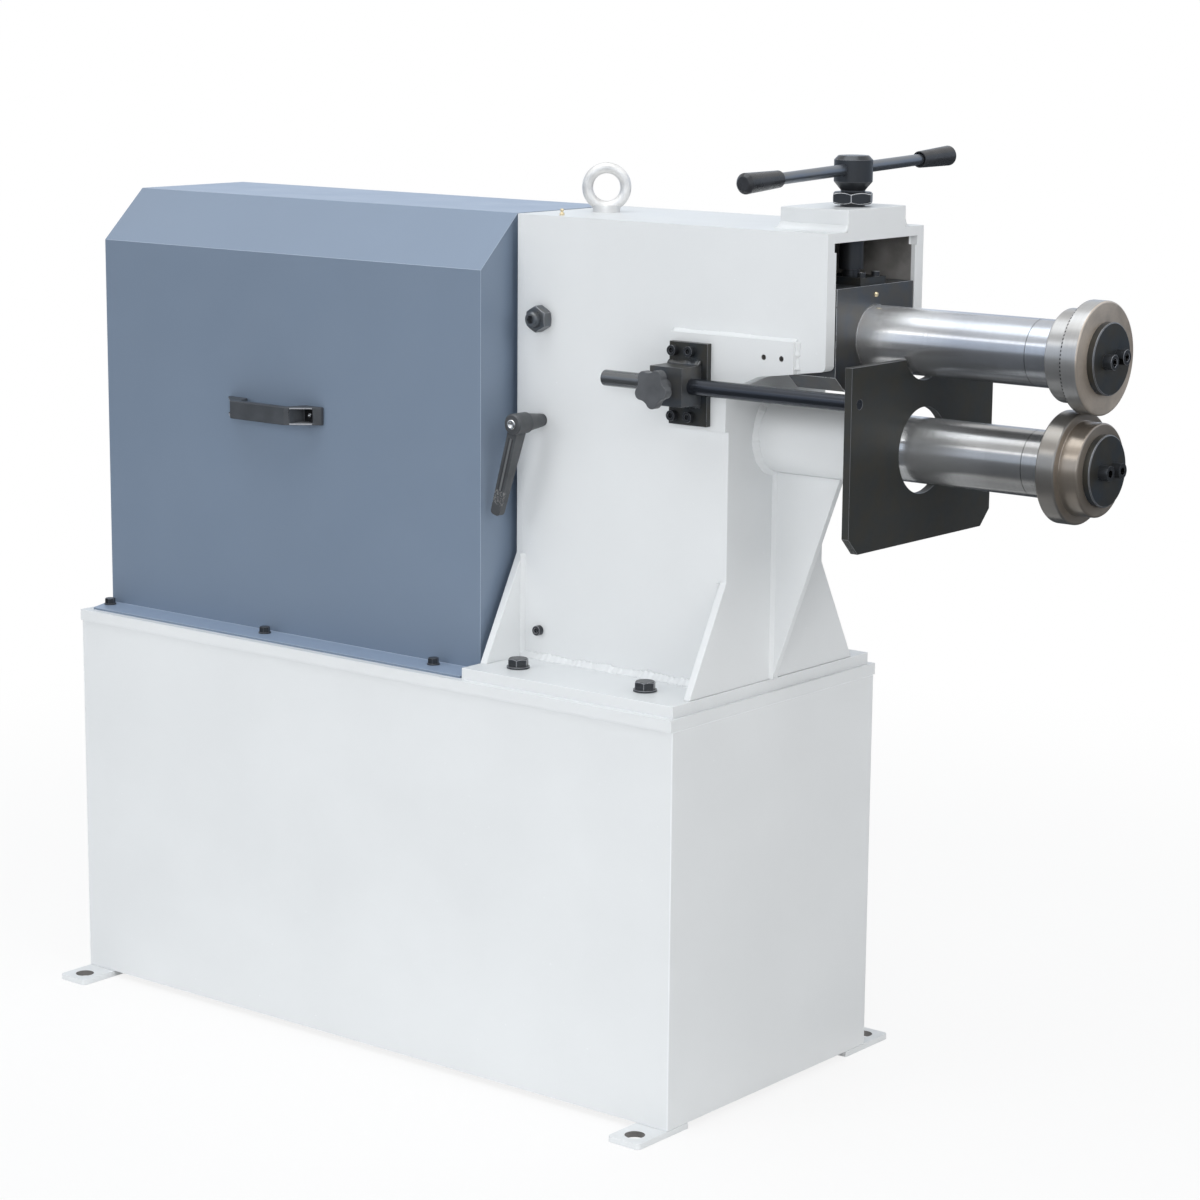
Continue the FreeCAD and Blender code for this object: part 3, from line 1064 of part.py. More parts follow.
node("motor_housing", cut(
    "motor_housing",
    cylinder("motor_outside", "X", axis_spot, "motor_start", "gearbox_start",
             "motor_diameter / 2"),
    [cylinder("motor_inside", "X", axis_spot, "motor_start + motor_shield",
              "gearbox_start - motor_shield", "rotor_diameter / 2 + rotor_gap"),
     cylinder("motor_shaft_hole", "X", axis_spot, "motor_start - overrun",
              "gearbox_start + overrun", shield_room)]))
rotor_radius = "rotor_diameter / 2"
motor_shaft_radius = "motor_shaft_diameter / 2"
rotor_back = "motor_start + motor_shield + rotor_end_room"
rotor_front = "gearbox_start - motor_shield - rotor_end_room"
fan_front = "motor_start - fan_gap"
node("motor_rotor", turned(
    "motor_rotor", "X",
    [("motor_start - motor_shaft_tail", "0"),
     ("motor_start - motor_shaft_tail", motor_shaft_radius),
     (fan_front + " - fan_width", motor_shaft_radius),
     (fan_front + " - fan_width", "fan_diameter / 2"), (fan_front, "fan_diameter / 2"),
     (fan_front, motor_shaft_radius), (rotor_back, motor_shaft_radius),
     (rotor_back, rotor_radius), (rotor_front, rotor_radius), (rotor_front, motor_shaft_radius),
     ("gearbox_start + motor_shaft_pinion", motor_shaft_radius),
     ("gearbox_start + motor_shaft_pinion", "0")], axis_spot))
node("fan_cowl", cut(
    "fan_cowl",
    cylinder("cowl_outside", "X", axis_spot, "cowl_start", "motor_start", "cowl_radius"),
    [cylinder("cowl_inside", "X", axis_spot, "cowl_start + cowl_gauge", "motor_start + overrun",
              "cowl_radius - cowl_gauge"),
     cylinder("cowl_hole", "X", axis_spot, "cowl_start - overrun", "motor_start",
              "cowl_hole_diameter / 2")]))

# Guard over the drive: a folded hood open underneath, flanged, slotted where the shafts pass
hood_outside = [
    ("-guard_front", "deck_top"), ("-guard_front", "guard_shoulder"),
    ("-guard_front + guard_chamfer_run", "guard_top"),
    ("guard_back - guard_chamfer_run", "guard_top"), ("guard_back", "guard_shoulder"),
    ("guard_back", "deck_top")]
inner_front = "-guard_front + guard_gauge"
inner_back = "guard_back - guard_gauge"
inner_shoulder = "guard_shoulder - guard_drop_inside"
inner_run = "guard_chamfer_run + guard_shift_inside"
hood_inside = [
    (inner_front, "deck_top - overrun"), (inner_front, inner_shoulder),
    ("-guard_front + " + inner_run, "guard_top - guard_gauge"),
    ("guard_back - (%s)" % inner_run, "guard_top - guard_gauge"), (inner_back, inner_shoulder),
    (inner_back, "deck_top - overrun")]
flange_top = "deck_top + guard_gauge"
flanges = []
for tag, side, wall, reach in (("front", -1, "guard_front", "guard_flange_front"),
                               ("back", 1, "guard_back", "guard_flange_back")):
    root = "%d * %s" % (side, wall)
    shoulder = "%d * (%s + %s - guard_mitre_rise)" % (side, wall, reach)
    rim = "%d * (%s + %s)" % (side, wall, reach)
    flanges.append(plate(
        "flange_" + tag, "XY",
        [("guard_start", root), ("guard_start", shoulder),
         ("guard_start + guard_mitre_run", rim), ("guard_end + guard_flange_overrun", rim),
         ("guard_end + guard_flange_overrun", root)], "deck_top", flange_top))
guard_tools = [
    box("guard_slot", ("guard_end - guard_gauge - overrun", "guard_end + overrun"),
        ("-(lower_hub_radius + guard_slot_room)", "lower_hub_radius + guard_slot_room"),
        ("deck_top - overrun", "guard_slot_top"))]
for index, (x, y) in enumerate(guard_bolt_places):
    guard_tools.append(cylinder("guard_hole_%d" % index, "Z", (x, y), "deck_top - overrun",
                                flange_top + " + overrun", "small_screw_diameter / 2 + hole_room"))
hood = cut("hood", plate("hood_outside", "YZ", hood_outside, "guard_start", "guard_end"),
           [plate("hood_inside", "YZ", hood_inside, "guard_start + guard_gauge",
                  "guard_end - guard_gauge")])
node("guard_cover", cut("guard_cover", join("guard_blank", [hood] + flanges), guard_tools))
guard_bolts = []
for index, (x, y) in enumerate(guard_bolt_places):
    washer_top = flange_top + " + guard_washer_gauge"
    guard_bolts.append(join("guard_bolt_%d" % index, [
        cylinder("guard_washer_%d" % index, "Z", (x, y), flange_top, washer_top,
                 "guard_washer_diameter / 2"),
        chamfered_hexagon("guard_head_%d" % index, "Z", (x, y), washer_top,
                          washer_top + " + guard_bolt_head", "guard_bolt_flats"),
        cylinder("guard_shank_%d" % index, "Z", (x, y), "cabinet_top + guard_bolt_end_gap",
                 washer_top, "small_screw_diameter / 2")]))
node("guard_bolts", group("guard_bolts", guard_bolts))

# Pull handle on the guard: a bridge whose sloping ends each have a pocket for a screw; the
# pocket at the left end is open to the end, so only its two side walls reach it
pull_end = "pull_x + pull_length"
pull_outline = [
    ("pull_x", "-guard_front"), ("pull_x", "-guard_front - pull_foot_gauge"),
    ("pull_x + pull_left_slope", "-pull_face"),
    (pull_end + " - pull_right_slope", "-pull_face"),
    (pull_end, "-guard_front - pull_foot_gauge"), (pull_end, "-guard_front"),
    (pull_end + " - pull_gap_foot", "-guard_front"),
    (pull_end + " - pull_gap_foot - pull_gap_slope", "-pull_face + pull_wall"),
    ("pull_x + pull_gap_foot + pull_gap_slope", "-pull_face + pull_wall"),
    ("pull_x + pull_gap_foot", "-guard_front")]
pull_opening = ("pull_z + pull_pocket_edge", "pull_z + pull_height - pull_pocket_edge")
pull_pockets = [
    box("pull_pocket_%d" % index, (start, "%s + pull_pocket_length" % start),
        ("-pull_face - overrun", "-guard_front - pull_pocket_floor"), pull_opening)
    for index, start in enumerate((
        "pull_x + pull_pocket_inset",
        pull_end + " - pull_pocket_inset - pull_pocket_length"))]
pull_pockets.append(box("pull_notch", ("pull_x - overrun", "pull_x + pull_pocket_inset + overrun"),
                        ("-pull_face - overrun", "-guard_front + overrun"), pull_opening))
node("pull_handle", cut(
    "pull_handle", plate("pull_blank", "XY", pull_outline, "pull_z", "pull_z + pull_height"),
    pull_pockets))

doc.recompute()

# Refuse to write anything from a model that is not sound
for item in doc.Objects:
    if "Invalid" in item.State or "Error" in item.State:
        raise RuntimeError("%s is %s" % (item.Name, item.State))
for name, item in NODES.items():
    if item.Shape.isNull() or not item.Shape.isValid() or not item.Shape.Solids:
        raise RuntimeError("%s has no sound shape" % name)

os.makedirs("parts", exist_ok=True)
for name, item in NODES.items():
    item.Shape.exportStep("parts/%s.step" % name)
    print("%-24s %2d solids %12.1f mm3" % (name, len(item.Shape.Solids), item.Shape.Volume))
print(len(NODES), "sub-parts")
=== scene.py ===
# Studio scene for a motorised swaging machine that stands on a steel cabinet.
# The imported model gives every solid; this script adds finishes, weld beads and
# small fittings, a floor, soft lamps and the camera. Sizes and places on the machine
# are in millimetres; those of the floor, the lamps and the camera are in metres.
import math

import bpy
from mathutils import Matrix, Vector, noise


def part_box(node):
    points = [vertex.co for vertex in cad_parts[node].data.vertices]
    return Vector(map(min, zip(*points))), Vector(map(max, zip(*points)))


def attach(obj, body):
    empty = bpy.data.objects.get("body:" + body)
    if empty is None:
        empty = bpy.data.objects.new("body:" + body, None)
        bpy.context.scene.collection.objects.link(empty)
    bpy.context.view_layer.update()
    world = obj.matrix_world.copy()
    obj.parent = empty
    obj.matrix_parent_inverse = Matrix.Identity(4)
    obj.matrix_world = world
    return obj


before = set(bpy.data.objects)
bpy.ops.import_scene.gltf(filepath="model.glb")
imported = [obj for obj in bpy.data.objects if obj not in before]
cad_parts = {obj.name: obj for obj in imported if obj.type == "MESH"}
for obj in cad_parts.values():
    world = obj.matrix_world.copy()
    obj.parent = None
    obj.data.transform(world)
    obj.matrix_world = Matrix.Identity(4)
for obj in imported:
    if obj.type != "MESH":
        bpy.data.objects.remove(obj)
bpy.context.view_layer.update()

MM = 0.001


def corners(node):
    """The lowest and highest corners of a node at rest, in millimetres."""
    low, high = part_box(node)
    return low / MM, high / MM


# Shader building

def linear(red, green, blue):
    """Turn an sRGB colour with parts from 0 to 255 into the linear colour of a shader."""
    parts = []
    for value in (red, green, blue):
        value = value / 255
        if value <= 0.04045:
            parts.append(value / 12.92)
        else:
            parts.append(((value + 0.055) / 1.055) ** 2.4)
    return (parts[0], parts[1], parts[2], 1)


def shade(color, factor):
    """The same colour, lighter or darker by a factor, and never above full white."""
    return (min(color[0] * factor, 1), min(color[1] * factor, 1), min(color[2] * factor, 1), 1)


class Finish:
    """One procedural material, built node by node round a Principled shader."""

    def __init__(self, name, roughness, metallic=0.0, **constants):
        principled = "Principled BSDF"
        self.material = bpy.data.materials.new(name)
        self.material.use_nodes = True
        self.tree = self.material.node_tree
        self.shader = self.tree.nodes[principled]
        self.shader.inputs["Roughness"].default_value = roughness
        self.shader.inputs["Metallic"].default_value = metallic
        for socket, value in constants.items():
            self.shader.inputs[socket.replace("_", " ")].default_value = value
        self.place = self.tree.nodes.new("ShaderNodeTexCoord").outputs["Object"]
        self.height = None

    def link(self, output, node_input):
        """Join the output of one node to the input of another."""
        self.tree.links.new(output, node_input)

    def scaled(self, source, scale):
        """Coordinates stretched by a factor for each axis."""
        mapping = self.tree.nodes.new("ShaderNodeMapping")
        mapping.inputs["Scale"].default_value = scale
        self.link(source, mapping.inputs["Vector"])
        return mapping.outputs["Vector"]

    def noise(self, scale, detail=3.0, source=None, stretch=(1, 1, 1)):
        """Soft noise; a larger scale gives finer grain."""
        texture = self.tree.nodes.new("ShaderNodeTexNoise")
        texture.inputs["Scale"].default_value = scale
        texture.inputs["Detail"].default_value = detail
        vector = self.place if source is None else source
        if stretch != (1, 1, 1):
            vector = self.scaled(vector, stretch)
        self.link(vector, texture.inputs["Vector"])
        return texture.outputs["Fac"]

    def spread(self, value, low, high, to_low, to_high):
        """Map a value from one range to another and keep it inside the second."""
        remap = self.tree.nodes.new("ShaderNodeMapRange")
        remap.inputs["From Min"].default_value = low
        remap.inputs["From Max"].default_value = high
        remap.inputs["To Min"].default_value = to_low
        remap.inputs["To Max"].default_value = to_high
        self.link(value, remap.inputs["Value"])
        return remap.outputs["Result"]

    def blend(self, factor, first, second):
        """The first colour where the factor is zero and the second where it is one."""
        mix = self.tree.nodes.new("ShaderNodeMix")
        mix.data_type = "RGBA"
        self.link(factor, mix.inputs["Factor"])
        self.set_color(first, mix.inputs[6])
        self.set_color(second, mix.inputs[7])
        return mix.outputs[2]

    def set_color(self, value, socket):
        """Give a socket a plain colour or the output of another node."""
        if isinstance(value, tuple):
            socket.default_value = value
        else:
            self.link(value, socket)

    def color(self, value):
        """Set the base colour of the material."""
        self.set_color(value, self.shader.inputs["Base Color"])

    def math(self, operation, first, second=None):
        """One arithmetic node; each value is a number or the output of another node."""
        node = self.tree.nodes.new("ShaderNodeMath")
        node.operation = operation
        for index, value in enumerate((first, second)):
            if value is None:
                continue
            if isinstance(value, (int, float)):
                node.inputs[index].default_value = value
            else:
                self.link(value, node.inputs[index])
        return node.outputs["Value"]

    def split(self):
        """The three coordinates of a point on the surface, in metres."""
        node = self.tree.nodes.new("ShaderNodeSeparateXYZ")
        self.link(self.place, node.inputs["Vector"])
        return node.outputs["X"], node.outputs["Y"], node.outputs["Z"]

    def between(self, value, low, high):
        """One where a value lies between two lengths in millimetres, zero elsewhere."""
        off = self.math("ABSOLUTE", self.math("SUBTRACT", value, (low + high) / 2 * MM))
        return self.math("LESS_THAN", off, (high - low) / 2 * MM)

    def within(self, low, high):
        """One inside a box given by two corners in millimetres, zero outside."""
        result = None
        for value, start, end in zip(self.split(), low, high):
            inside = self.between(value, start, end)
            result = inside if result is None else self.math("MULTIPLY", result, inside)
        return result

    def facing_up(self):
        """The upward part of the surface's direction, from one on a level top to minus one."""
        geometry = self.tree.nodes.new("ShaderNodeNewGeometry")
        split = self.tree.nodes.new("ShaderNodeSeparateXYZ")
        self.link(geometry.outputs["Normal"], split.inputs["Vector"])
        return split.outputs["Z"]

    def roughness(self, value):
        """Set how rough the surface is, from the output of another node."""
        self.link(value, self.shader.inputs["Roughness"])

    def bump(self, height, depth, strength=1.0):
        """Add relief of a depth in metres on top of what is already there."""
        node = self.tree.nodes.new("ShaderNodeBump")
        node.inputs["Distance"].default_value = depth
        node.inputs["Strength"].default_value = strength
        self.link(height, node.inputs["Height"])
        if self.height is not None:
            self.link(self.height, node.inputs["Normal"])
        self.height = node.outputs["Normal"]
        self.link(self.height, self.shader.inputs["Normal"])

    def profile_coordinates(self, axis, centre):
        """Give (length along the axis, radius, 0), so texture follows turned profiles."""
        offset = self.tree.nodes.new("ShaderNodeVectorMath")
        offset.operation = "SUBTRACT"
        offset.inputs[1].default_value = centre
        self.link(self.place, offset.inputs[0])
        split = self.tree.nodes.new("ShaderNodeSeparateXYZ")
        self.link(offset.outputs["Vector"], split.inputs["Vector"])
        across = [name for name in "XYZ" if name != axis]
        flat = self.tree.nodes.new("ShaderNodeCombineXYZ")
        self.link(split.outputs[across[0]], flat.inputs["X"])
        self.link(split.outputs[across[1]], flat.inputs["Y"])
        radius = self.tree.nodes.new("ShaderNodeVectorMath")
        radius.operation = "LENGTH"
        self.link(flat.outputs["Vector"], radius.inputs[0])
        joined = self.tree.nodes.new("ShaderNodeCombineXYZ")
        self.link(split.outputs[axis], joined.inputs["X"])
        self.link(radius.outputs["Value"], joined.inputs["Y"])
        return joined.outputs["Vector"]


def enamel(name, color, roughness, bare=None, top_highlight=0):
    """Sprayed enamel: orange peel, faint clouding, uneven gloss and a few dusty specks.

    Bare gives a mask of unpainted, oily steel for a finish that has not reached everywhere.
    Top highlight is how much lighter and bluer the faces that look up are painted, a painted
    highlight of the light from above.
    """
    made = Finish(name, roughness)
    top_highlight_color = (0.52, 0.64, 0.84, 1)
    dark_steel = (0.11, 0.105, 0.10, 1)
    pale_steel = (0.28, 0.27, 0.26, 1)
    cloud = made.spread(made.noise(5, 4), 0.3, 0.7, 0, 1)
    paint = made.blend(cloud, shade(color, 0.975), shade(color, 1.02))
    # Painted highlight: faces that look up are painted lighter and bluer, as if lit from above.
    if top_highlight > 0:
        lit_tops = made.spread(made.facing_up(), 0.5, 1, 0, top_highlight)
        paint = made.blend(lit_tops, paint, top_highlight_color)
    specks = made.spread(made.noise(260, 1), 0.80, 0.83, 0, 0.55)
    paint = made.blend(specks, paint, shade(color, 1.25))
    if bare is not None:
        grime = made.spread(made.noise(24, 5), 0.3, 0.7, 0, 1)
        steel = made.blend(grime, dark_steel, pale_steel)
        paint = made.blend(bare(made), paint, steel)
    made.color(paint)
    made.roughness(made.spread(made.noise(14, 3), 0.3, 0.7, roughness - 0.05, roughness + 0.06))
    orange_peel = made.noise(330, 2)
    made.bump(orange_peel, 0.00006, 0.25)
    waviness = made.noise(28, 2)
    made.bump(waviness, 0.00030, 0.12)
    return made.material


def black_oxide(name, color, roughness, metallic=0.35, warmth=1.0, specular=0.6, hollow=None,
                hollow_color=(0.003, 0.003, 0.003, 1)):
    """Oiled black oxide on steel: brown and blue tints, fine scratches and uneven sheen.

    Hollow gives a mask of the places that have a colour of their own; the near-black default is
    painted shade.
    """
    made = Finish(name, roughness, metallic, Specular_IOR_Level=specular)
    brown = (color[0] * 1.2, color[1] * 1.08, color[2] * 0.88, 1)
    blue = (color[0] * 0.8, color[1] * 0.97, color[2] * 1.2, 1)
    tint = made.spread(made.noise(38, 4), 0.35, 0.65, 0.5 - warmth / 2, 0.5 + warmth / 2)
    metal = made.blend(tint, blue, brown)
    if hollow is not None:
        metal = made.blend(hollow(made), metal, hollow_color)
    made.color(metal)
    unevenness = 0.09 * warmth
    made.roughness(made.spread(made.noise(120, 5), 0.25, 0.75, roughness - unevenness,
                               roughness + unevenness))
    made.bump(made.noise(400, 3), 0.00004, 0.35)
    return made.material


def turned_steel(name, color, roughness, axis, centre, metallic, face=None, marks=None,
                 painted_highlight_end=None):
    """Turned or ground metal whose fine lines run round its axis, with painted shade on the faces
    that look down.

    Face gives a place along the axis, in millimetres, from which the metal has a second
    colour. Marks gives the place of a ring of short dark nicks. Painted highlight end gives two
    places along the axis: up to the first a painted reflection makes the metal twice as light,
    and it fades out up to the second.
    """
    made = Finish(name, roughness, metallic, Anisotropic=0.7, Anisotropic_Rotation=0.25)
    x, y, z = made.split()
    profile = made.profile_coordinates(axis, centre)
    bands = made.spread(made.noise(420, 3, profile), 0.3, 0.7, 0, 1)
    stain = made.spread(made.noise(40, 4, stretch=(0.12, 1, 1)), 0.4, 0.7, 0, 1)
    band_color = (0.2, 0.2, 0.2, 1)
    stain_color = (0.24, 0.21, 0.18, 1)
    underside_shade_color = (0.10, 0.098, 0.09, 1)
    nick_color = (0.03, 0.03, 0.03, 1)
    nick_count = 90
    nick_start, nick_end = -0.5, 2.6
    face_reach = 60
    metal = color
    # Painted highlight: towards the end near the nose the metal is painted up to twice as light,
    # standing in for a reflection.
    if painted_highlight_end is not None:
        painted_highlight = made.spread(x, painted_highlight_end[0] * MM, painted_highlight_end[1] * MM, 1, 0)
        metal = made.blend(painted_highlight, metal, shade(color, 2))
    if face is not None:
        place, second_color = face
        metal = made.blend(made.between(x, place, place + face_reach), metal, second_color)
    metal = made.blend(made.math("MULTIPLY", bands, 0.12), metal, band_color)
    metal = made.blend(made.math("MULTIPLY", stain, 0.35), metal, stain_color)
    # Painted shade: the faces that look down are painted darker.
    underside_shade = made.spread(made.facing_up(), -0.9, 0.2, 0.6, 0)
    metal = made.blend(underside_shade, metal, underside_shade_color)
    if marks is not None:
        away = made.math("SUBTRACT", z, centre[2])
        angle = made.math("ARCTAN2", y, away)
        wave = made.math("SINE", made.math("MULTIPLY", angle, nick_count))
        nick = made.math("MULTIPLY", made.math("GREATER_THAN", wave, 0.1),
                         made.between(x, marks + nick_start, marks + nick_end))
        metal = made.blend(nick, metal, nick_color)
    made.color(metal)
    made.roughness(made.spread(bands, 0, 1, roughness - 0.03, roughness + 0.03))
    tangent = made.tree.nodes.new("ShaderNodeTangent")
    tangent.direction_type = "RADIAL"
    tangent.axis = axis
    made.link(tangent.outputs["Tangent"], made.shader.inputs["Tangent"])
    return made.material


def plain_metal(name, color, roughness, grain, depth, metallic=1.0):
    """Cast, milled or plated metal with a granular surface."""
    made = Finish(name, roughness, metallic)
    cloud = made.spread(made.noise(45, 5), 0.3, 0.7, 0, 1)
    made.color(made.blend(cloud, shade(color, 0.86), shade(color, 1.08)))
    made.roughness(made.spread(made.noise(90, 4), 0.3, 0.7, roughness - 0.08, roughness + 0.1))
    made.bump(made.noise(grain, 4), depth, 0.6)
    return made.material


def moulded_plastic(name, color, roughness, grain, depth):
    """Moulded black plastic with a fine leather grain and rubbed patches."""
    made = Finish(name, roughness, 0.0, Specular_IOR_Level=0.45)
    rubbed = made.spread(made.noise(32, 4), 0.35, 0.75, 0, 1)
    made.color(made.blend(rubbed, color, shade(color, 1.7)))
    made.roughness(made.spread(made.noise(70, 4), 0.3, 0.7, roughness - 0.07, roughness + 0.08))
    made.bump(made.noise(grain, 3), depth, 0.5)
    return made.material


# A point on the axis of each roll, in metres
lower_centre = (0, 0, 0.8605)
upper_centre = (0, 0, 0.9905)

frame_white = linear(226, 228, 229)
guard_blue = linear(118, 133, 152)
oxide = (0.035, 0.0355, 0.034, 1)
upper_shaft_grey = (0.50, 0.53, 0.58, 1)
lower_shaft_grey = (0.42, 0.425, 0.43, 1)
upper_die_grey = (0.46, 0.46, 0.46, 1)
lower_die_grey = (0.30, 0.285, 0.265, 1)
die_front_tan = (0.72, 0.615, 0.51, 1)

# Where the hub and the flange of each die meet, along the machine, and just behind the
# front face of the upper flange
upper_die_seam = 956.5
lower_die_seam = 954.2
upper_die_face = 977.6

# The clamp lever turns about this line across the machine
lever_axis_x = 224
lever_axis_z = 860.5


def frame_inside(made):
    """The hollow between the side plates, and the two tapped holes in the gauge pad."""
    side_low, side_high = corners("left_side_plate")
    front_low, front_high = corners("frame_front_plate")
    top_low = corners("frame_top_plate")[0]
    rear_high = corners("frame_rear_plate")[1]
    base_high = corners("frame_base_plate")[1]
    skin = 0.4
    painted_lip = 6
    nose_floor = 1000
    half = side_low.y + skin
    roof = top_low.z + skin
    body = made.within((rear_high.x + 1, -half, base_high.z + 1),
                       (front_low.x + skin, half, roof))
    nose = made.within((front_high.x + 0.5, -half, nose_floor),
                       (side_high.x - painted_lip, half, roof))
    result = made.math("MAXIMUM", body, nose)
    pad_low, pad_high = corners("gauge_pad")
    hole_drop = 21.5
    hole_reach = 3.7
    rim = 0.8
    level = pad_high.z - hole_drop
    for from_end in (43.7, 17.7):
        spot = pad_high.x - from_end
        hole = made.within((spot - hole_reach, pad_low.y + rim, level - hole_reach),
                           (spot + hole_reach, pad_high.y + 0.3, level + hole_reach))
        result = made.math("MAXIMUM", result, hole)
    return result


def foot_hole_walls(made):
    """The walls of the four anchor holes."""
    hole_x = 502.5
    hole_y = 251
    hole_reach = 12.9
    x, y = made.split()[:2]
    across = made.math("SUBTRACT", made.math("ABSOLUTE", x), hole_x * MM)
    along = made.math("SUBTRACT", made.math("ABSOLUTE", y), hole_y * MM)
    squares = made.math("ADD", made.math("POWER", across, 2), made.math("POWER", along, 2))
    return made.math("LESS_THAN", squares, (hole_reach * MM) ** 2)


def shaded_cap_screw_sockets(made):
    """The inside of the sockets in the heads of the four cap screws, painted near black as shade.
    """
    rim = 0.6
    socket_share = 0.66
    x, y, z = made.split()
    result = 0
    for node in ("upper_cap_screws", "lower_cap_screws"):
        low, high = corners(node)
        head_radius = (high.z - low.z) / 2
        level = (high.z + low.z) / 2
        below_face = made.math("LESS_THAN", x, (high.x - rim) * MM)
        for centre in (low.y + head_radius, high.y - head_radius):
            aside = made.math("SUBTRACT", y, centre * MM)
            above = made.math("SUBTRACT", z, level * MM)
            squares = made.math("ADD", made.math("POWER", aside, 2), made.math("POWER", above, 2))
            near = made.math("LESS_THAN", squares, (head_radius * socket_share * MM) ** 2)
            result = made.math("ADD", made.math("MULTIPLY", near, below_face), result)
    return result


def rod_end(made):
    """The lighter end of the gauge rod, behind its clamp block."""
    x = made.split()[0]
    block_low = corners("gauge_clamp_block")[0]
    return made.math("LESS_THAN", x, block_low.x * MM)


def dark_pockets(name, color, roughness):
    """The pull handle's plastic: painted near black in the pockets at its ends as shade, with a
    pale rim above and below each painted as a highlight.
    """
    made = Finish(name, roughness, 0.0, Specular_IOR_Level=0.45)
    low, high = corners("pull_handle")
    pocket_inset = 10.5
    pocket_length = 21
    wall = 3.2
    foot = 6
    rim_highlight_color = (0.3, 0.31, 0.33, 1)
    pocket_shade_color = (0.004, 0.004, 0.005, 1)
    pockets = 0
    rims = 0
    for start in (low.x + pocket_inset, high.x - pocket_inset - pocket_length):
        end = start + pocket_length
        pockets = made.math("ADD", made.within(
            (start, low.y - 1, low.z + wall), (end, high.y, high.z - wall)), pockets)
        for edge in (low.z + wall / 2, high.z - wall / 2):
            rims = made.math("ADD", made.within(
                (start - 1, low.y - 1, edge - 1), (end + 1, high.y - foot, edge + 1)), rims)
    rubbed = made.spread(made.noise(32, 4), 0.35, 0.75, 0, 1)
    plastic = made.blend(rubbed, color, shade(color, 1.6))
    # Painted highlight along the rims, and painted shade inside the pockets.
    plastic = made.blend(rims, plastic, rim_highlight_color)
    made.color(made.blend(pockets, plastic, pocket_shade_color))
    made.roughness(made.spread(made.noise(70, 4), 0.3, 0.7, roughness - 0.07, roughness + 0.08))
    made.bump(made.noise(800, 3), 0.00005, 0.5)
    return made.material


def lever_casting(name, color, roughness):
    """The clamp lever's coated casting, with a sunk panel down the front of its arm shown by
    painted shade.
    """
    made = Finish(name, roughness, 0.2, Specular_IOR_Level=0.5)
    x, y, z = made.split()
    lean = math.radians(16.8)
    arm_front = -150
    panel_start = 20
    panel_end = 92
    panel_half = 4.2
    stripe_left, stripe_right = -1.4, 1.6
    arm_end = 112
    stripe_color = (0.15, 0.155, 0.16, 1)
    tip_color = (0.22, 0.22, 0.22, 1)
    aside = made.math("SUBTRACT", x, lever_axis_x * MM)
    below = made.math("SUBTRACT", lever_axis_z * MM, z)
    along = made.math("ADD", made.math("MULTIPLY", below, math.cos(lean)),
                      made.math("MULTIPLY", aside, -math.sin(lean)))
    across = made.math("ADD", made.math("MULTIPLY", aside, math.cos(lean)),
                       made.math("MULTIPLY", below, math.sin(lean)))
    front = made.math("LESS_THAN", y, arm_front * MM)
    length = made.math("MULTIPLY", made.between(along, panel_start, panel_end), front)
    panel = made.math("MULTIPLY", length, made.between(across, -panel_half, panel_half))
    stripe = made.math("MULTIPLY", length, made.between(across, stripe_left, stripe_right))
    tip = made.math("MULTIPLY", made.between(along, panel_end, arm_end), front)
    speckle = made.spread(made.noise(420, 2), 0.5, 0.6, 0, 1)
    rubbed = made.spread(made.noise(32, 4), 0.35, 0.75, 0, 1)
    paint = made.blend(rubbed, color, shade(color, 1.6))
    # Painted shade: the sunk panel is painted darker than the arm.
    paint = made.blend(panel, paint, shade(color, 0.75))
    paint = made.blend(stripe, paint, stripe_color)
    paint = made.blend(made.math("MULTIPLY", tip, speckle), paint, tip_color)
    made.color(paint)
    made.roughness(made.spread(made.noise(70, 4), 0.3, 0.7, roughness - 0.07, roughness + 0.08))
    made.bump(made.noise(650, 3), 0.00012, 0.5)
    return made.material


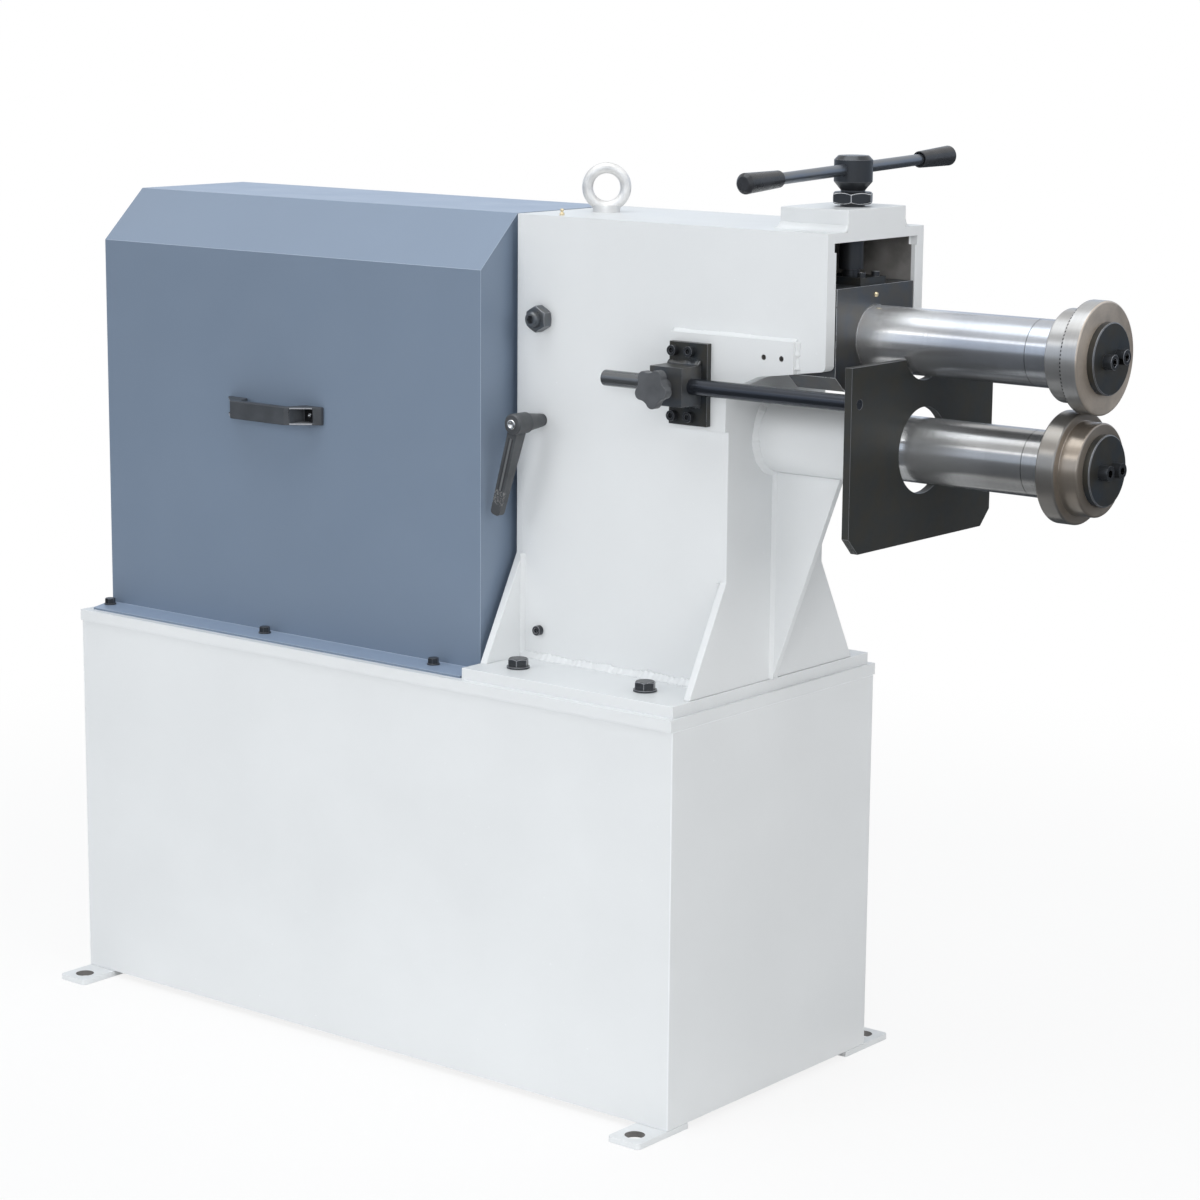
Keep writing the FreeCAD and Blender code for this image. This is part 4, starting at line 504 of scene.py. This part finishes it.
finishes = {
    "frame_enamel": enamel("frame_enamel", frame_white, 0.40, frame_inside),
    "foot_enamel": enamel("foot_enamel", frame_white, 0.42, foot_hole_walls),
    "guard_enamel": enamel("guard_enamel", guard_blue, 0.34, top_highlight=0.35),
    # Painted highlights: paler enamels for the rounded edges of the guard and the frame.
    "guard_edge_highlight": enamel("guard_edge_highlight", linear(184, 196, 213), 0.35),
    "frame_edge_highlight": enamel("frame_edge_highlight", linear(238, 240, 242), 0.38),
    "black_oxide": black_oxide("black_oxide", oxide, 0.38),
    "oiled_steel": black_oxide("oiled_steel", (0.040, 0.042, 0.046, 1), 0.30, 0.55, 0.15),
    # Painted shade: the insides of the cap screw sockets are near black.
    "socket_steel": black_oxide("socket_steel", (0.040, 0.042, 0.046, 1), 0.30, 0.55, 0.15,
                                hollow=shaded_cap_screw_sockets),
    "bar_steel": black_oxide("bar_steel", (0.18, 0.19, 0.21, 1), 0.30, 0.85, 0.15),
    "rod_steel": black_oxide("rod_steel", (0.042, 0.046, 0.056, 1), 0.24, 0.7, 0.15,
                             hollow=rod_end, hollow_color=(0.15, 0.155, 0.16, 1)),
    "nut_steel": black_oxide("nut_steel", (0.115, 0.12, 0.125, 1), 0.36, 0.5, 0.4),
    "block_steel": black_oxide("block_steel", (0.092, 0.093, 0.095, 1), 0.38, 0.5, 0.5),
    "stop_steel": black_oxide("stop_steel", (0.037, 0.0365, 0.033, 1), 0.42, 0.1, 0.35, 0.35),
    # Pale metal on the rounded edges of the black steel: partly real wear, partly a painted
    # highlight.
    "worn_edge_highlight": plain_metal("worn_edge_highlight", (0.72, 0.72, 0.73, 1), 0.3, 700, 0.00002, 0.6),
    "rubbed_edge_highlight": plain_metal("rubbed_edge_highlight", (0.26, 0.265, 0.28, 1), 0.32, 700, 0.00002, 0.6),
    # Both shafts carry a painted highlight at the end near the frame's nose.
    "lower_ground": turned_steel("lower_ground", lower_shaft_grey, 0.24, "X", lower_centre, 0.8,
                                 painted_highlight_end=(750, 860)),
    "upper_ground": turned_steel("upper_ground", upper_shaft_grey, 0.24, "X", upper_centre, 0.8,
                                 painted_highlight_end=(690, 800)),
    "lower_die_steel": turned_steel("lower_die_steel", lower_die_grey, 0.31, "X", lower_centre,
                                    0.75, (lower_die_seam, shade(die_front_tan, 0.55))),
    "upper_die_steel": turned_steel("upper_die_steel", upper_die_grey, 0.33, "X", upper_centre,
                                    0.7, (upper_die_face, die_front_tan), upper_die_seam),
    "seam": plain_metal("seam", (0.05, 0.048, 0.045, 1), 0.5, 700, 0.00002),
    "zinc": plain_metal("zinc", (0.77, 0.76, 0.745, 1), 0.42, 520, 0.00014, 0.55),
    "screw_steel": plain_metal("screw_steel", (0.80, 0.79, 0.77, 1), 0.24, 900, 0.00001),
    "brass": plain_metal("brass", (0.76, 0.64, 0.42, 1), 0.30, 900, 0.00001, 0.8),
    "bronze": plain_metal("bronze", (0.55, 0.38, 0.2, 1), 0.33, 700, 0.00002),
    "machine_steel": plain_metal("machine_steel", (0.55, 0.56, 0.57, 1), 0.3, 700, 0.00002),
    "gearbox_iron": plain_metal("gearbox_iron", (0.10, 0.12, 0.15, 1), 0.5, 260, 0.0002, 0.0),
    "motor_aluminium": plain_metal("motor_aluminium", (0.2, 0.22, 0.25, 1), 0.45, 320, 0.0001, 0.2),
    "black_plastic": moulded_plastic("black_plastic", (0.022, 0.023, 0.026, 1), 0.29, 300, 0.00002),
    "knob_plastic": moulded_plastic("knob_plastic", (0.062, 0.065, 0.070, 1), 0.40, 300, 0.00003),
    "lever_coating": lever_casting("lever_coating", (0.058, 0.061, 0.065, 1), 0.40),
    "handle_plastic": dark_pockets("handle_plastic", (0.042, 0.046, 0.052, 1), 0.46),
}

# Finish, width of the rounded edges in millimetres, and the finish of those edges, which, where
# it is paler than the face, is a painted highlight (on the black steel partly real wear). The edges
# of a thin sheet stay under half its thickness, or they fold over and close an opening between
# them.
dress = {
    ("frame_enamel", 1.2, "frame_edge_highlight"): [
        "cabinet_shell", "cabinet_top_plate", "frame_base_plate"],
    ("frame_enamel", 1.2, None): [
        "frame_front_plate", "screw_boss_block", "front_gusset", "gauge_pad"],
    ("frame_enamel", 0.7, None): [
        "right_side_plate", "left_side_plate", "frame_top_plate", "frame_rear_plate"],
    ("frame_enamel", 1.0, None): ["lower_shaft_tube", "motor_pedestal"],
    ("foot_enamel", 1.0, None): ["foot_bars"],
    ("guard_enamel", 1.3, "guard_edge_highlight"): ["guard_cover"],
    ("oiled_steel", 0.4, "worn_edge_highlight"): ["jam_nut", "retainer_screws"],
    ("oiled_steel", 0.3, "rubbed_edge_highlight"): ["bracket_screws"],
    ("socket_steel", 0.4, "rubbed_edge_highlight"): ["upper_cap_screws", "lower_cap_screws"],
    ("oiled_steel", 0.6, "rubbed_edge_highlight"): [
        "base_bolts", "guard_bolts", "plug_bolt", "adjusting_screw"],
    ("nut_steel", 0.6, "rubbed_edge_highlight"): ["pivot_nuts", "pivot_pins"],
    ("rod_steel", 0.6, None): ["gauge_rod"],
    ("bar_steel", 0.6, None): ["t_handle_bar"],
    ("black_oxide", 0.6, None): [
        "upper_rear_housing", "lower_rear_housing", "thrust_washer", "spindle_retainer_plate"],
    ("black_oxide", 0.4, "rubbed_edge_highlight"): [
        "gauge_bracket_plate", "upper_cap_disc", "lower_cap_disc"],
    ("block_steel", 0.9, "worn_edge_highlight"): ["gauge_clamp_block"],
    ("block_steel", 0.35, "worn_edge_highlight"): ["slide_block"],
    ("stop_steel", 0.5, "rubbed_edge_highlight"): ["stop_plate"],
    ("machine_steel", 0.5, None): [
        "lower_gear", "upper_gear", "gearbox_hollow_shaft", "motor_rotor", "lower_rear_sleeve"],
    ("lower_ground", 0.4, "seam"): ["lower_shaft", "lower_spacer_ring"],
    ("upper_ground", 0.4, "seam"): ["upper_shaft", "upper_spacer_ring"],
    ("lower_die_steel", 1.4, None): ["lower_die"],
    ("upper_die_steel", 1.4, None): ["upper_die"],
    ("bronze", 0.4, None): ["lower_front_bush", "upper_front_bush", "upper_rear_bush"],
    ("gearbox_iron", 1.5, None): ["gearbox_case"],
    ("motor_aluminium", 1.0, None): ["motor_housing", "fan_cowl"],
    ("black_plastic", 1.2, None): ["t_handle_grips"],
    ("knob_plastic", 1.2, None): ["star_knob"],
    ("handle_plastic", 1.4, None): ["pull_handle"],
    ("lever_coating", 1.6, None): ["clamp_lever"],
    ("zinc", 0.5, None): ["eye_bolt"],
}


def dress_node(node, finish, width, edge_finish):
    """Give a node its finish and rounded edges; flat plates get them at blunt corners too."""
    blunt, square = 22, 35
    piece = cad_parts[node]
    piece.data.materials.clear()
    piece.data.materials.append(finishes[finish])
    weld = piece.modifiers.new("weld", "WELD")
    weld.merge_threshold = 0.00001
    flat = piece.modifiers.new("flat", "DECIMATE")
    flat.decimate_type = "DISSOLVE"
    flat.angle_limit = math.radians(0.5)
    bevel = piece.modifiers.new("edges", "BEVEL")
    bevel.width = width * MM
    bevel.segments = 2
    bevel.limit_method = "ANGLE"
    bevel.angle_limit = math.radians(blunt if finish == "frame_enamel" else square)
    bevel.harden_normals = False
    bevel.miter_outer = "MITER_ARC"
    if edge_finish is not None:
        piece.data.materials.append(finishes[edge_finish])
        bevel.material = 1
    weights = piece.modifiers.new("normals", "WEIGHTED_NORMAL")
    weights.mode = "FACE_AREA"
    weights.weight = 80
    weights.keep_sharp = False


for (finish, width, edge_finish), nodes in dress.items():
    for node in nodes:
        dress_node(node, finish, width, edge_finish)


# Small shapes made in mesh code


def add_mesh(name, points, faces, finish, body, smooth=True):
    """A new piece from points in metres, riding on a body."""
    mesh = bpy.data.meshes.new(name)
    mesh.from_pydata([tuple(point) for point in points], [], faces)
    mesh.materials.append(finishes[finish])
    for face in mesh.polygons:
        face.use_smooth = smooth
    mesh.validate()
    piece = bpy.data.objects.new(name, mesh)
    bpy.context.scene.collection.objects.link(piece)
    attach(piece, body)
    return piece


def ring_faces(rings, sides):
    """Faces between successive rings of points, and a cap on each end."""
    faces = []
    for ring in range(rings - 1):
        for side in range(sides):
            following = (side + 1) % sides
            first = ring * sides
            second = first + sides
            faces.append((first + side, first + following, second + following, second + side))
    faces.append(tuple(reversed(range(sides))))
    last = (rings - 1) * sides
    faces.append(tuple(last + side for side in range(sides)))
    return faces


def fillet(name, stations, leg, body, finish="frame_enamel", belly=-0.12, rough=0.06):
    """A weld fillet run into a corner, from stations of a point and the corner's two normals.

    A belly above zero bulges and one below zero is hollow; rough is the unevenness.
    """
    section_gap = 2.4
    ripple_length = 3.4
    curve_points = 6
    sunk = 0.4
    sections = []
    for (start, first_a, first_b), (end, last_a, last_b) in zip(stations, stations[1:]):
        steps = max(round((end - start).length / section_gap), 5)
        for step in range(1 if sections else 0, steps + 1):
            share = step / steps
            point = start.lerp(end, share)
            normal_a = first_a.lerp(last_a, share).normalized()
            normal_b = first_b.lerp(last_b, share).normalized()
            sections.append((point, normal_a, normal_b))
    points = []
    run = 0
    for index, (point, normal_a, normal_b) in enumerate(sections):
        if index > 0:
            run += (point - sections[index - 1][0]).length
        wave = noise.noise(point * 0.045) + 0.6 * noise.noise(point * 0.33)
        ripple = math.sin(run / ripple_length * math.tau) * 0.25
        size = leg * (1 + rough * (wave * 2 + ripple))
        points.append((point - normal_a * sunk - normal_b * sunk) * MM)
        for step in range(curve_points + 1):
            share = step / curve_points
            out = normal_a * (1 - share) + normal_b * share
            bulge = (normal_a + normal_b) * belly * 4 * share * (1 - share)
            edge = -sunk * (abs(2 * share - 1) ** 6)
            lift = normal_b * edge if share < 0.5 else normal_a * edge
            points.append((point + (out + bulge) * size + lift) * MM)
    sides = curve_points + 2
    return add_mesh(name, points, ring_faces(len(sections), sides), finish, body)


X, Y, Z = Vector((1, 0, 0)), Vector((0, 1, 0)), Vector((0, 0, 1))


def at(x, y, z):
    """A point, in millimetres."""
    return Vector((x, y, z))


def straight_fillet(name, start, end, normal_a, normal_b, leg, body="frame", **options):
    """A weld fillet along one straight line."""
    stations = [(start, normal_a, normal_b), (end, normal_a, normal_b)]
    return fillet(name, stations, leg, body, **options)


# The level where the fins of the front and rear plates end and filled joints begin
FIN_TOP = 684


def boss_weld():
    """The weld round three sides of the block that the pressure screw runs in."""
    boss_low, boss_high = corners("screw_boss_block")
    top = corners("frame_top_plate")[1].z
    half = boss_high.y
    front = boss_high.x
    back = boss_low.x
    fillet("boss_weld", [
        (at(front, -half, top), -Y, Z), (at(back, -half, top), -Y, Z),
        (at(back, -half, top), -X, Z), (at(back, half, top), -X, Z),
        (at(back, half, top), Y, Z), (at(front, half, top), Y, Z)], 9, "frame", belly=-0.16,
        rough=0.05)


def upright_welds():
    """The welds of the side plates and the gusset with the plates that they stand against."""
    outside = -corners("right_side_plate")[0].y
    front_low, front_high = corners("frame_front_plate")
    front = front_low.x
    face = front_high.x
    rear = corners("frame_rear_plate")[1].x
    deck = corners("frame_base_plate")[1].z
    tube_bottom = corners("lower_shaft_tube")[0].z
    gusset_half = corners("front_gusset")[1].y
    for side, normal, name in ((-1, -Y, "right"), (1, Y, "left")):
        y = side * outside
        straight_fillet(name + "_base_weld", at(rear, y, deck), at(front, y, deck),
                        normal, Z, 8, belly=0.0, rough=0.22)
        straight_fillet(name + "_rear_weld", at(rear, y, deck), at(rear, y, FIN_TOP),
                        X, normal, 5, belly=-0.05, rough=0.08)
        straight_fillet(name + "_front_weld", at(front, y, deck), at(front, y, FIN_TOP),
                        -X, normal, 5, belly=-0.05, rough=0.08)
        straight_fillet(name + "_gusset_weld", at(face, gusset_half * side, deck),
                        at(face, gusset_half * side, tube_bottom), X, normal, 5,
                        belly=-0.1, rough=0.1)


def pad_welds():
    """The welds along the top and down the end of the gauge pad."""
    pad_low, pad_high = corners("gauge_pad")
    end_weld_length = 34
    straight_fillet("pad_top_weld", at(pad_low.x, pad_high.y, pad_high.z),
                    at(pad_high.x, pad_high.y, pad_high.z), Z, -Y, 3.5, belly=0, rough=0.2)
    straight_fillet("pad_end_weld", at(pad_high.x, pad_high.y, pad_high.z),
                    at(pad_high.x, pad_high.y, pad_high.z - end_weld_length), X, -Y, 5,
                    belly=0.1, rough=0.5)


def tube_weld():
    """The weld round the tube of the lower shaft, where it leaves the front plate."""
    face = corners("frame_front_plate")[1].x
    tube_low, tube_high = corners("lower_shaft_tube")
    radius = (tube_high.z - tube_low.z) / 2
    middle = (tube_high.z + tube_low.z) / 2
    turns = 48
    stations = []
    for turn in range(turns + 1):
        angle = math.tau * turn / turns
        outward = Vector((0, math.sin(angle), math.cos(angle)))
        stations.append((at(face, 0, middle) + outward * radius, outward, X))
    fillet("tube_weld", stations, 6.5, "frame", belly=-0.05, rough=0.12)


def clamp_welds():
    """The welds above and below the gauge's clamp block, on its bracket plate."""
    block_low, block_high = corners("gauge_clamp_block")
    plate_low = corners("gauge_bracket_plate")[0]
    for z, normal, name in ((block_high.z, Z, "top"), (block_low.z, -Z, "bottom")):
        straight_fillet("clamp_" + name + "_weld", at(block_low.x, plate_low.y, z),
                        at(block_high.x, plate_low.y, z), normal, -Y, 5, finish="block_steel",
                        belly=0.1, rough=0.3)


def turned_piece(name, base, direction, profile, finish, body, sides=32):
    """A small turned fitting from (height, radius) pairs along a direction, in millimetres."""
    up = direction.normalized()
    across = up.orthogonal().normalized()
    other = up.cross(across)
    points = []
    for height, radius in profile:
        for side in range(sides):
            angle = math.tau * side / sides
            spoke = across * math.cos(angle) + other * math.sin(angle)
            points.append((base + up * height + spoke * radius) * MM)
    return add_mesh(name, points, ring_faces(len(profile), sides), finish, body)


# Pairs of height and radius, in millimetres, from the foot of a fitting to its tip
TALL_NIPPLE = [(-0.5, 2.9), (0.3, 3.2), (2.7, 3.2), (3.1, 2.7), (3.4, 1.8), (5.3, 1.8), (5.6, 2.1),
               (6.2, 2.5), (7.0, 2.6), (7.8, 2.2), (8.3, 1.4), (8.5, 0.7), (8.0, 0.5)]
FLAT_NIPPLE = [(-0.5, 3.2), (0.8, 3.2), (1.2, 2.8), (2.0, 2.6), (2.8, 2.0), (3.2, 1.1), (3.0, 0.5)]
LEVER_SCREW = [(-0.4, 6.4), (1.6, 6.4), (2.3, 5.7), (2.3, 3.5), (0.4, 3.3)]
POCKET_SCREW = [(-0.4, 3.0), (1.8, 3.0), (2.2, 2.6), (2.2, 1.4), (0.8, 1.2)]


def box_piece(name, low, high, finish="frame_enamel", body="frame"):
    """A small plain bar given by two corners in millimetres."""
    points = []
    for x in (low.x, high.x):
        for y in (low.y, high.y):
            for z in (low.z, high.z):
                points.append(at(x, y, z) * MM)
    faces = [(0, 1, 3, 2), (4, 6, 7, 5), (0, 4, 5, 1), (2, 3, 7, 6), (0, 2, 6, 4), (1, 5, 7, 3)]
    add_mesh(name, points, faces, finish, body, smooth=False)


def nose_fillers():
    """Painted filler over the joints of the plates and the boss block at the nose."""
    boss_low, boss_high = corners("screw_boss_block")
    top_low, top_high = corners("frame_top_plate")
    front_low, front_high = corners("frame_front_plate")
    side_low = corners("right_side_plate")[0]
    proud = 0.12
    depth = 2
    reach = 1.6
    joint_depth = 1.5
    joint_reach = 1.8
    joint_short = 1.4
    boss_inset = 1.2
    for name, face, inward in (("right_joint", side_low.y, 1), ("left_joint", -side_low.y, -1)):
        outer = face - inward * proud
        inner = face + inward * joint_depth
        box_piece(name, at(front_low.x - joint_reach, min(outer, inner), FIN_TOP + 2),
                  at(front_low.x + joint_reach, max(outer, inner), front_high.z - joint_short))
    front = top_high.x
    for name, joint in (("right_filler", top_low.y), ("left_filler", top_high.y)):
        box_piece(name, at(front - depth, joint - reach, top_low.z + 0.2),
                  at(front + proud, joint + reach, top_high.z - 0.5))
    box_piece("boss_filler", at(front - depth, boss_low.y + boss_inset, top_high.z - reach),
              at(front + proud, boss_high.y - boss_inset, top_high.z + reach))


def pull_handle_details():
    """A screw head in each pocket of the pull handle."""
    low, high = corners("pull_handle")
    screw_inset = 21
    pocket_floor = 4
    middle = (low.z + high.z) / 2
    floor_y = high.y - pocket_floor
    for side, spot in (("left", low.x + screw_inset), ("right", high.x - screw_inset)):
        turned_piece(side + "_pocket_screw", at(spot, floor_y, middle), -Y, POCKET_SCREW,
                     "screw_steel", "guard")


def grease_nipples():
    """One stands on the frame's top plate and one in the face of the slide block."""
    top = corners("frame_top_plate")[1].z
    top_x, top_y = 242.5, -88
    block_front = corners("slide_block")[1].x
    block_y, block_z = 0.6, 1043
    turned_piece("top_grease_nipple", at(top_x, top_y, top), Z, TALL_NIPPLE, "brass", "frame")
    turned_piece("block_grease_nipple", at(block_front, block_y, block_z), X, FLAT_NIPPLE, "brass",
                 "upper_carrier")


def lever_screw():
    """The screw that holds the clamp lever on its splined stud."""
    front = corners("clamp_lever")[0].y
    turned_piece("lever_screw", at(lever_axis_x, front, lever_axis_z), -Y, LEVER_SCREW,
                 "screw_steel", "clamp_lever")


boss_weld()
upright_welds()
pad_welds()
tube_weld()
clamp_welds()
grease_nipples()
lever_screw()
nose_fillers()
pull_handle_details()


# Floor and backdrop

def floor():
    """A pale floor that turns to plain white away from the machine and keeps its shadow."""
    mesh = bpy.data.meshes.new("floor")
    half = 30
    shadow_radius = 0.9
    white_radius = 2.4
    share_near = 0.84
    mesh.from_pydata([(-half, -half, 0), (half, -half, 0), (half, half, 0), (-half, half, 0)],
                     [], [(0, 1, 2, 3)])
    plane = bpy.data.objects.new("floor", mesh)
    bpy.context.scene.collection.objects.link(plane)
    material = bpy.data.materials.new("floor")
    material.use_nodes = True
    tree = material.node_tree
    paint = tree.nodes["Principled BSDF"]
    paint.inputs["Base Color"].default_value = (0.86, 0.86, 0.86, 1)
    paint.inputs["Roughness"].default_value = 0.9
    paint.inputs["Specular IOR Level"].default_value = 0.1
    glow = tree.nodes.new("ShaderNodeEmission")
    glow.inputs["Strength"].default_value = 1
    mix = tree.nodes.new("ShaderNodeMixShader")
    seen = tree.nodes.new("ShaderNodeLightPath")
    direct = tree.nodes.new("ShaderNodeMath")
    direct.operation = "MAXIMUM"
    tree.links.new(seen.outputs["Is Camera Ray"], direct.inputs[0])
    tree.links.new(seen.outputs["Is Glossy Ray"], direct.inputs[1])
    either = tree.nodes.new("ShaderNodeMath")
    either.operation = "MAXIMUM"
    tree.links.new(direct.outputs["Value"], either.inputs[0])
    tree.links.new(seen.outputs["Is Transmission Ray"], either.inputs[1])
    place = tree.nodes.new("ShaderNodeTexCoord")
    length = tree.nodes.new("ShaderNodeVectorMath")
    length.operation = "LENGTH"
    tree.links.new(place.outputs["Object"], length.inputs[0])
    far = tree.nodes.new("ShaderNodeMapRange")
    far.interpolation_type = "SMOOTHSTEP"
    far.inputs["From Min"].default_value = shadow_radius
    far.inputs["From Max"].default_value = white_radius
    far.inputs["To Min"].default_value = share_near
    far.inputs["To Max"].default_value = 1
    tree.links.new(length.outputs["Value"], far.inputs["Value"])
    amount = tree.nodes.new("ShaderNodeMath")
    amount.operation = "MULTIPLY"
    tree.links.new(either.outputs["Value"], amount.inputs[0])
    tree.links.new(far.outputs["Result"], amount.inputs[1])
    tree.links.new(amount.outputs["Value"], mix.inputs["Fac"])
    tree.links.new(paint.outputs["BSDF"], mix.inputs[1])
    tree.links.new(glow.outputs["Emission"], mix.inputs[2])
    output = tree.nodes["Material Output"]
    tree.links.new(mix.outputs["Shader"], output.inputs["Surface"])
    mesh.materials.append(material)


def reflection_bowl():
    """A bowl round the machine that only reflections see: dark low down and pale at the rim."""
    sides = 64
    rim_height = 2.8
    points = []
    for radius, height in ((0.62, 0.006), (2.8, 0.006), (3.4, 0.5), (3.6, rim_height)):
        for side in range(sides):
            angle = math.tau * side / sides
            points.append((radius * math.cos(angle), radius * math.sin(angle), height))
    faces = []
    for ring in range(3):
        for side in range(sides):
            following = (side + 1) % sides
            first = ring * sides
            second = first + sides
            faces.append((first + side, first + following, second + following, second + side))
    mesh = bpy.data.meshes.new("reflection_bowl")
    mesh.from_pydata(points, [], faces)
    bowl = bpy.data.objects.new("reflection_bowl", mesh)
    bpy.context.scene.collection.objects.link(bowl)
    material = bpy.data.materials.new("reflection_bowl")
    material.use_nodes = True
    tree = material.node_tree
    place = tree.nodes.new("ShaderNodeTexCoord")
    split = tree.nodes.new("ShaderNodeSeparateXYZ")
    tree.links.new(place.outputs["Object"], split.inputs["Vector"])
    ramp = tree.nodes.new("ShaderNodeValToRGB")
    tones = ((0, 0.09), (0.30, 0.14), (0.37, 0.72), (1, 0.95))
    while len(ramp.color_ramp.elements) < len(tones):
        ramp.color_ramp.elements.new(0.5)
    for element, (spot, tone) in zip(ramp.color_ramp.elements, tones):
        element.position = spot
        element.color = (tone * 0.82, tone * 0.93, tone * 1.1, 1)
    share = tree.nodes.new("ShaderNodeMath")
    share.operation = "DIVIDE"
    share.inputs[1].default_value = rim_height
    tree.links.new(split.outputs["Z"], share.inputs[0])
    tree.links.new(share.outputs["Value"], ramp.inputs["Fac"])
    glow = tree.nodes.new("ShaderNodeEmission")
    tree.links.new(ramp.outputs["Color"], glow.inputs["Color"])
    tree.links.new(glow.outputs["Emission"], tree.nodes["Material Output"].inputs["Surface"])
    mesh.materials.append(material)
    bowl.visible_camera = False
    bowl.visible_diffuse = False
    bowl.visible_shadow = False
    bowl.visible_transmission = False


def sky():
    """Soft light from all round, seen as plain white by the camera and by reflections."""
    world = bpy.data.worlds.new("studio")
    bpy.context.scene.world = world
    world.use_nodes = True
    tree = world.node_tree
    soft = tree.nodes["Background"]
    soft.inputs["Color"].default_value = (0.96, 0.98, 1, 1)
    soft.inputs["Strength"].default_value = 0.4
    white = tree.nodes.new("ShaderNodeBackground")
    white.inputs["Strength"].default_value = 1
    white.inputs["Color"].default_value = (1, 1, 1, 1)
    seen = tree.nodes.new("ShaderNodeLightPath")
    first = tree.nodes.new("ShaderNodeMath")
    first.operation = "MAXIMUM"
    tree.links.new(seen.outputs["Is Camera Ray"], first.inputs[0])
    tree.links.new(seen.outputs["Is Glossy Ray"], first.inputs[1])
    second = tree.nodes.new("ShaderNodeMath")
    second.operation = "MAXIMUM"
    tree.links.new(first.outputs["Value"], second.inputs[0])
    tree.links.new(seen.outputs["Is Transmission Ray"], second.inputs[1])
    mix = tree.nodes.new("ShaderNodeMixShader")
    tree.links.new(second.outputs["Value"], mix.inputs["Fac"])
    tree.links.new(soft.outputs["Background"], mix.inputs[1])
    tree.links.new(white.outputs["Background"], mix.inputs[2])
    tree.links.new(mix.outputs["Shader"], tree.nodes["World Output"].inputs["Surface"])


def flag():
    """A card that keeps part of the key lamp's light off the top of the machine."""
    left, right = -2.2, 0.9
    bottom, top = 1.55, 2.6
    y = -1.7
    mesh = bpy.data.meshes.new("flag")
    mesh.from_pydata([(left, y, bottom), (right, y, bottom), (right, y, top), (left, y, top)],
                     [], [(0, 1, 2, 3)])
    card = bpy.data.objects.new("flag", mesh)
    bpy.context.scene.collection.objects.link(card)
    card.visible_camera = False
    card.visible_diffuse = False
    card.visible_glossy = False
    card.visible_transmission = False


def lamp(name, place, target, width, power, color=(1, 1, 1), mirrored=True):
    """A round soft lamp; one that isn't mirrored leaves no highlights on the metal."""
    data = bpy.data.lights.new(name, "AREA")
    data.shape = "DISK"
    data.size = width
    data.energy = power
    data.color = color
    thing = bpy.data.objects.new(name, data)
    thing.location = place
    aim = Vector(target) - Vector(place)
    thing.rotation_euler = aim.to_track_quat("-Z", "Y").to_euler()
    thing.visible_glossy = mirrored
    bpy.context.scene.collection.objects.link(thing)


def camera():
    """The photograph's viewpoint, solved from the machine's straight edges."""
    heading = math.radians(38.7184)
    tilt = math.radians(-11.0591)
    roll = math.radians(0.4889)
    ahead = Vector((-math.sin(heading) * math.cos(tilt), math.cos(heading) * math.cos(tilt),
                    math.sin(tilt)))
    right = Vector((math.cos(heading), math.sin(heading), 0))
    up = right.cross(ahead)
    across = right * math.cos(roll) + up * math.sin(roll)
    upward = up * math.cos(roll) - right * math.sin(roll)
    place = (2.77531, -3.16412, 1.40525)
    focal_length = 94.2125
    data = bpy.data.cameras.new("camera")
    data.sensor_width = 36
    data.lens = focal_length
    data.clip_end = 100
    thing = bpy.data.objects.new("camera", data)
    turn = Matrix((across, upward, -ahead)).transposed().to_4x4()
    thing.matrix_world = Matrix.Translation(place) @ turn
    bpy.context.scene.collection.objects.link(thing)
    bpy.context.scene.camera = thing


floor()
reflection_bowl()
sky()
flag()
lamp("key", (-2.4, -6.4, 3.4), (0, 0, 0.6), 4, 113, (0.97, 0.985, 1))
lamp("fill", (3.0, -5.2, 2.2), (0.2, 0, 0.6), 3, 88, (0.98, 0.99, 1))
lamp("side", (5.8, -1.2, 2.9), (0.2, 0, 0.6), 3.6, 85, (1, 0.985, 0.965))
lamp("top", (0, -0.8, 5.1), (0, 0, 0.6), 4, 98, (0.92, 0.965, 1))
lamp("rear", (-3.2, 5.2, 2.6), (0, 0, 0.6), 4, 85, (0.98, 0.99, 1), mirrored=False)
camera()

scene = bpy.context.scene
scene.view_settings.view_transform = "Standard"
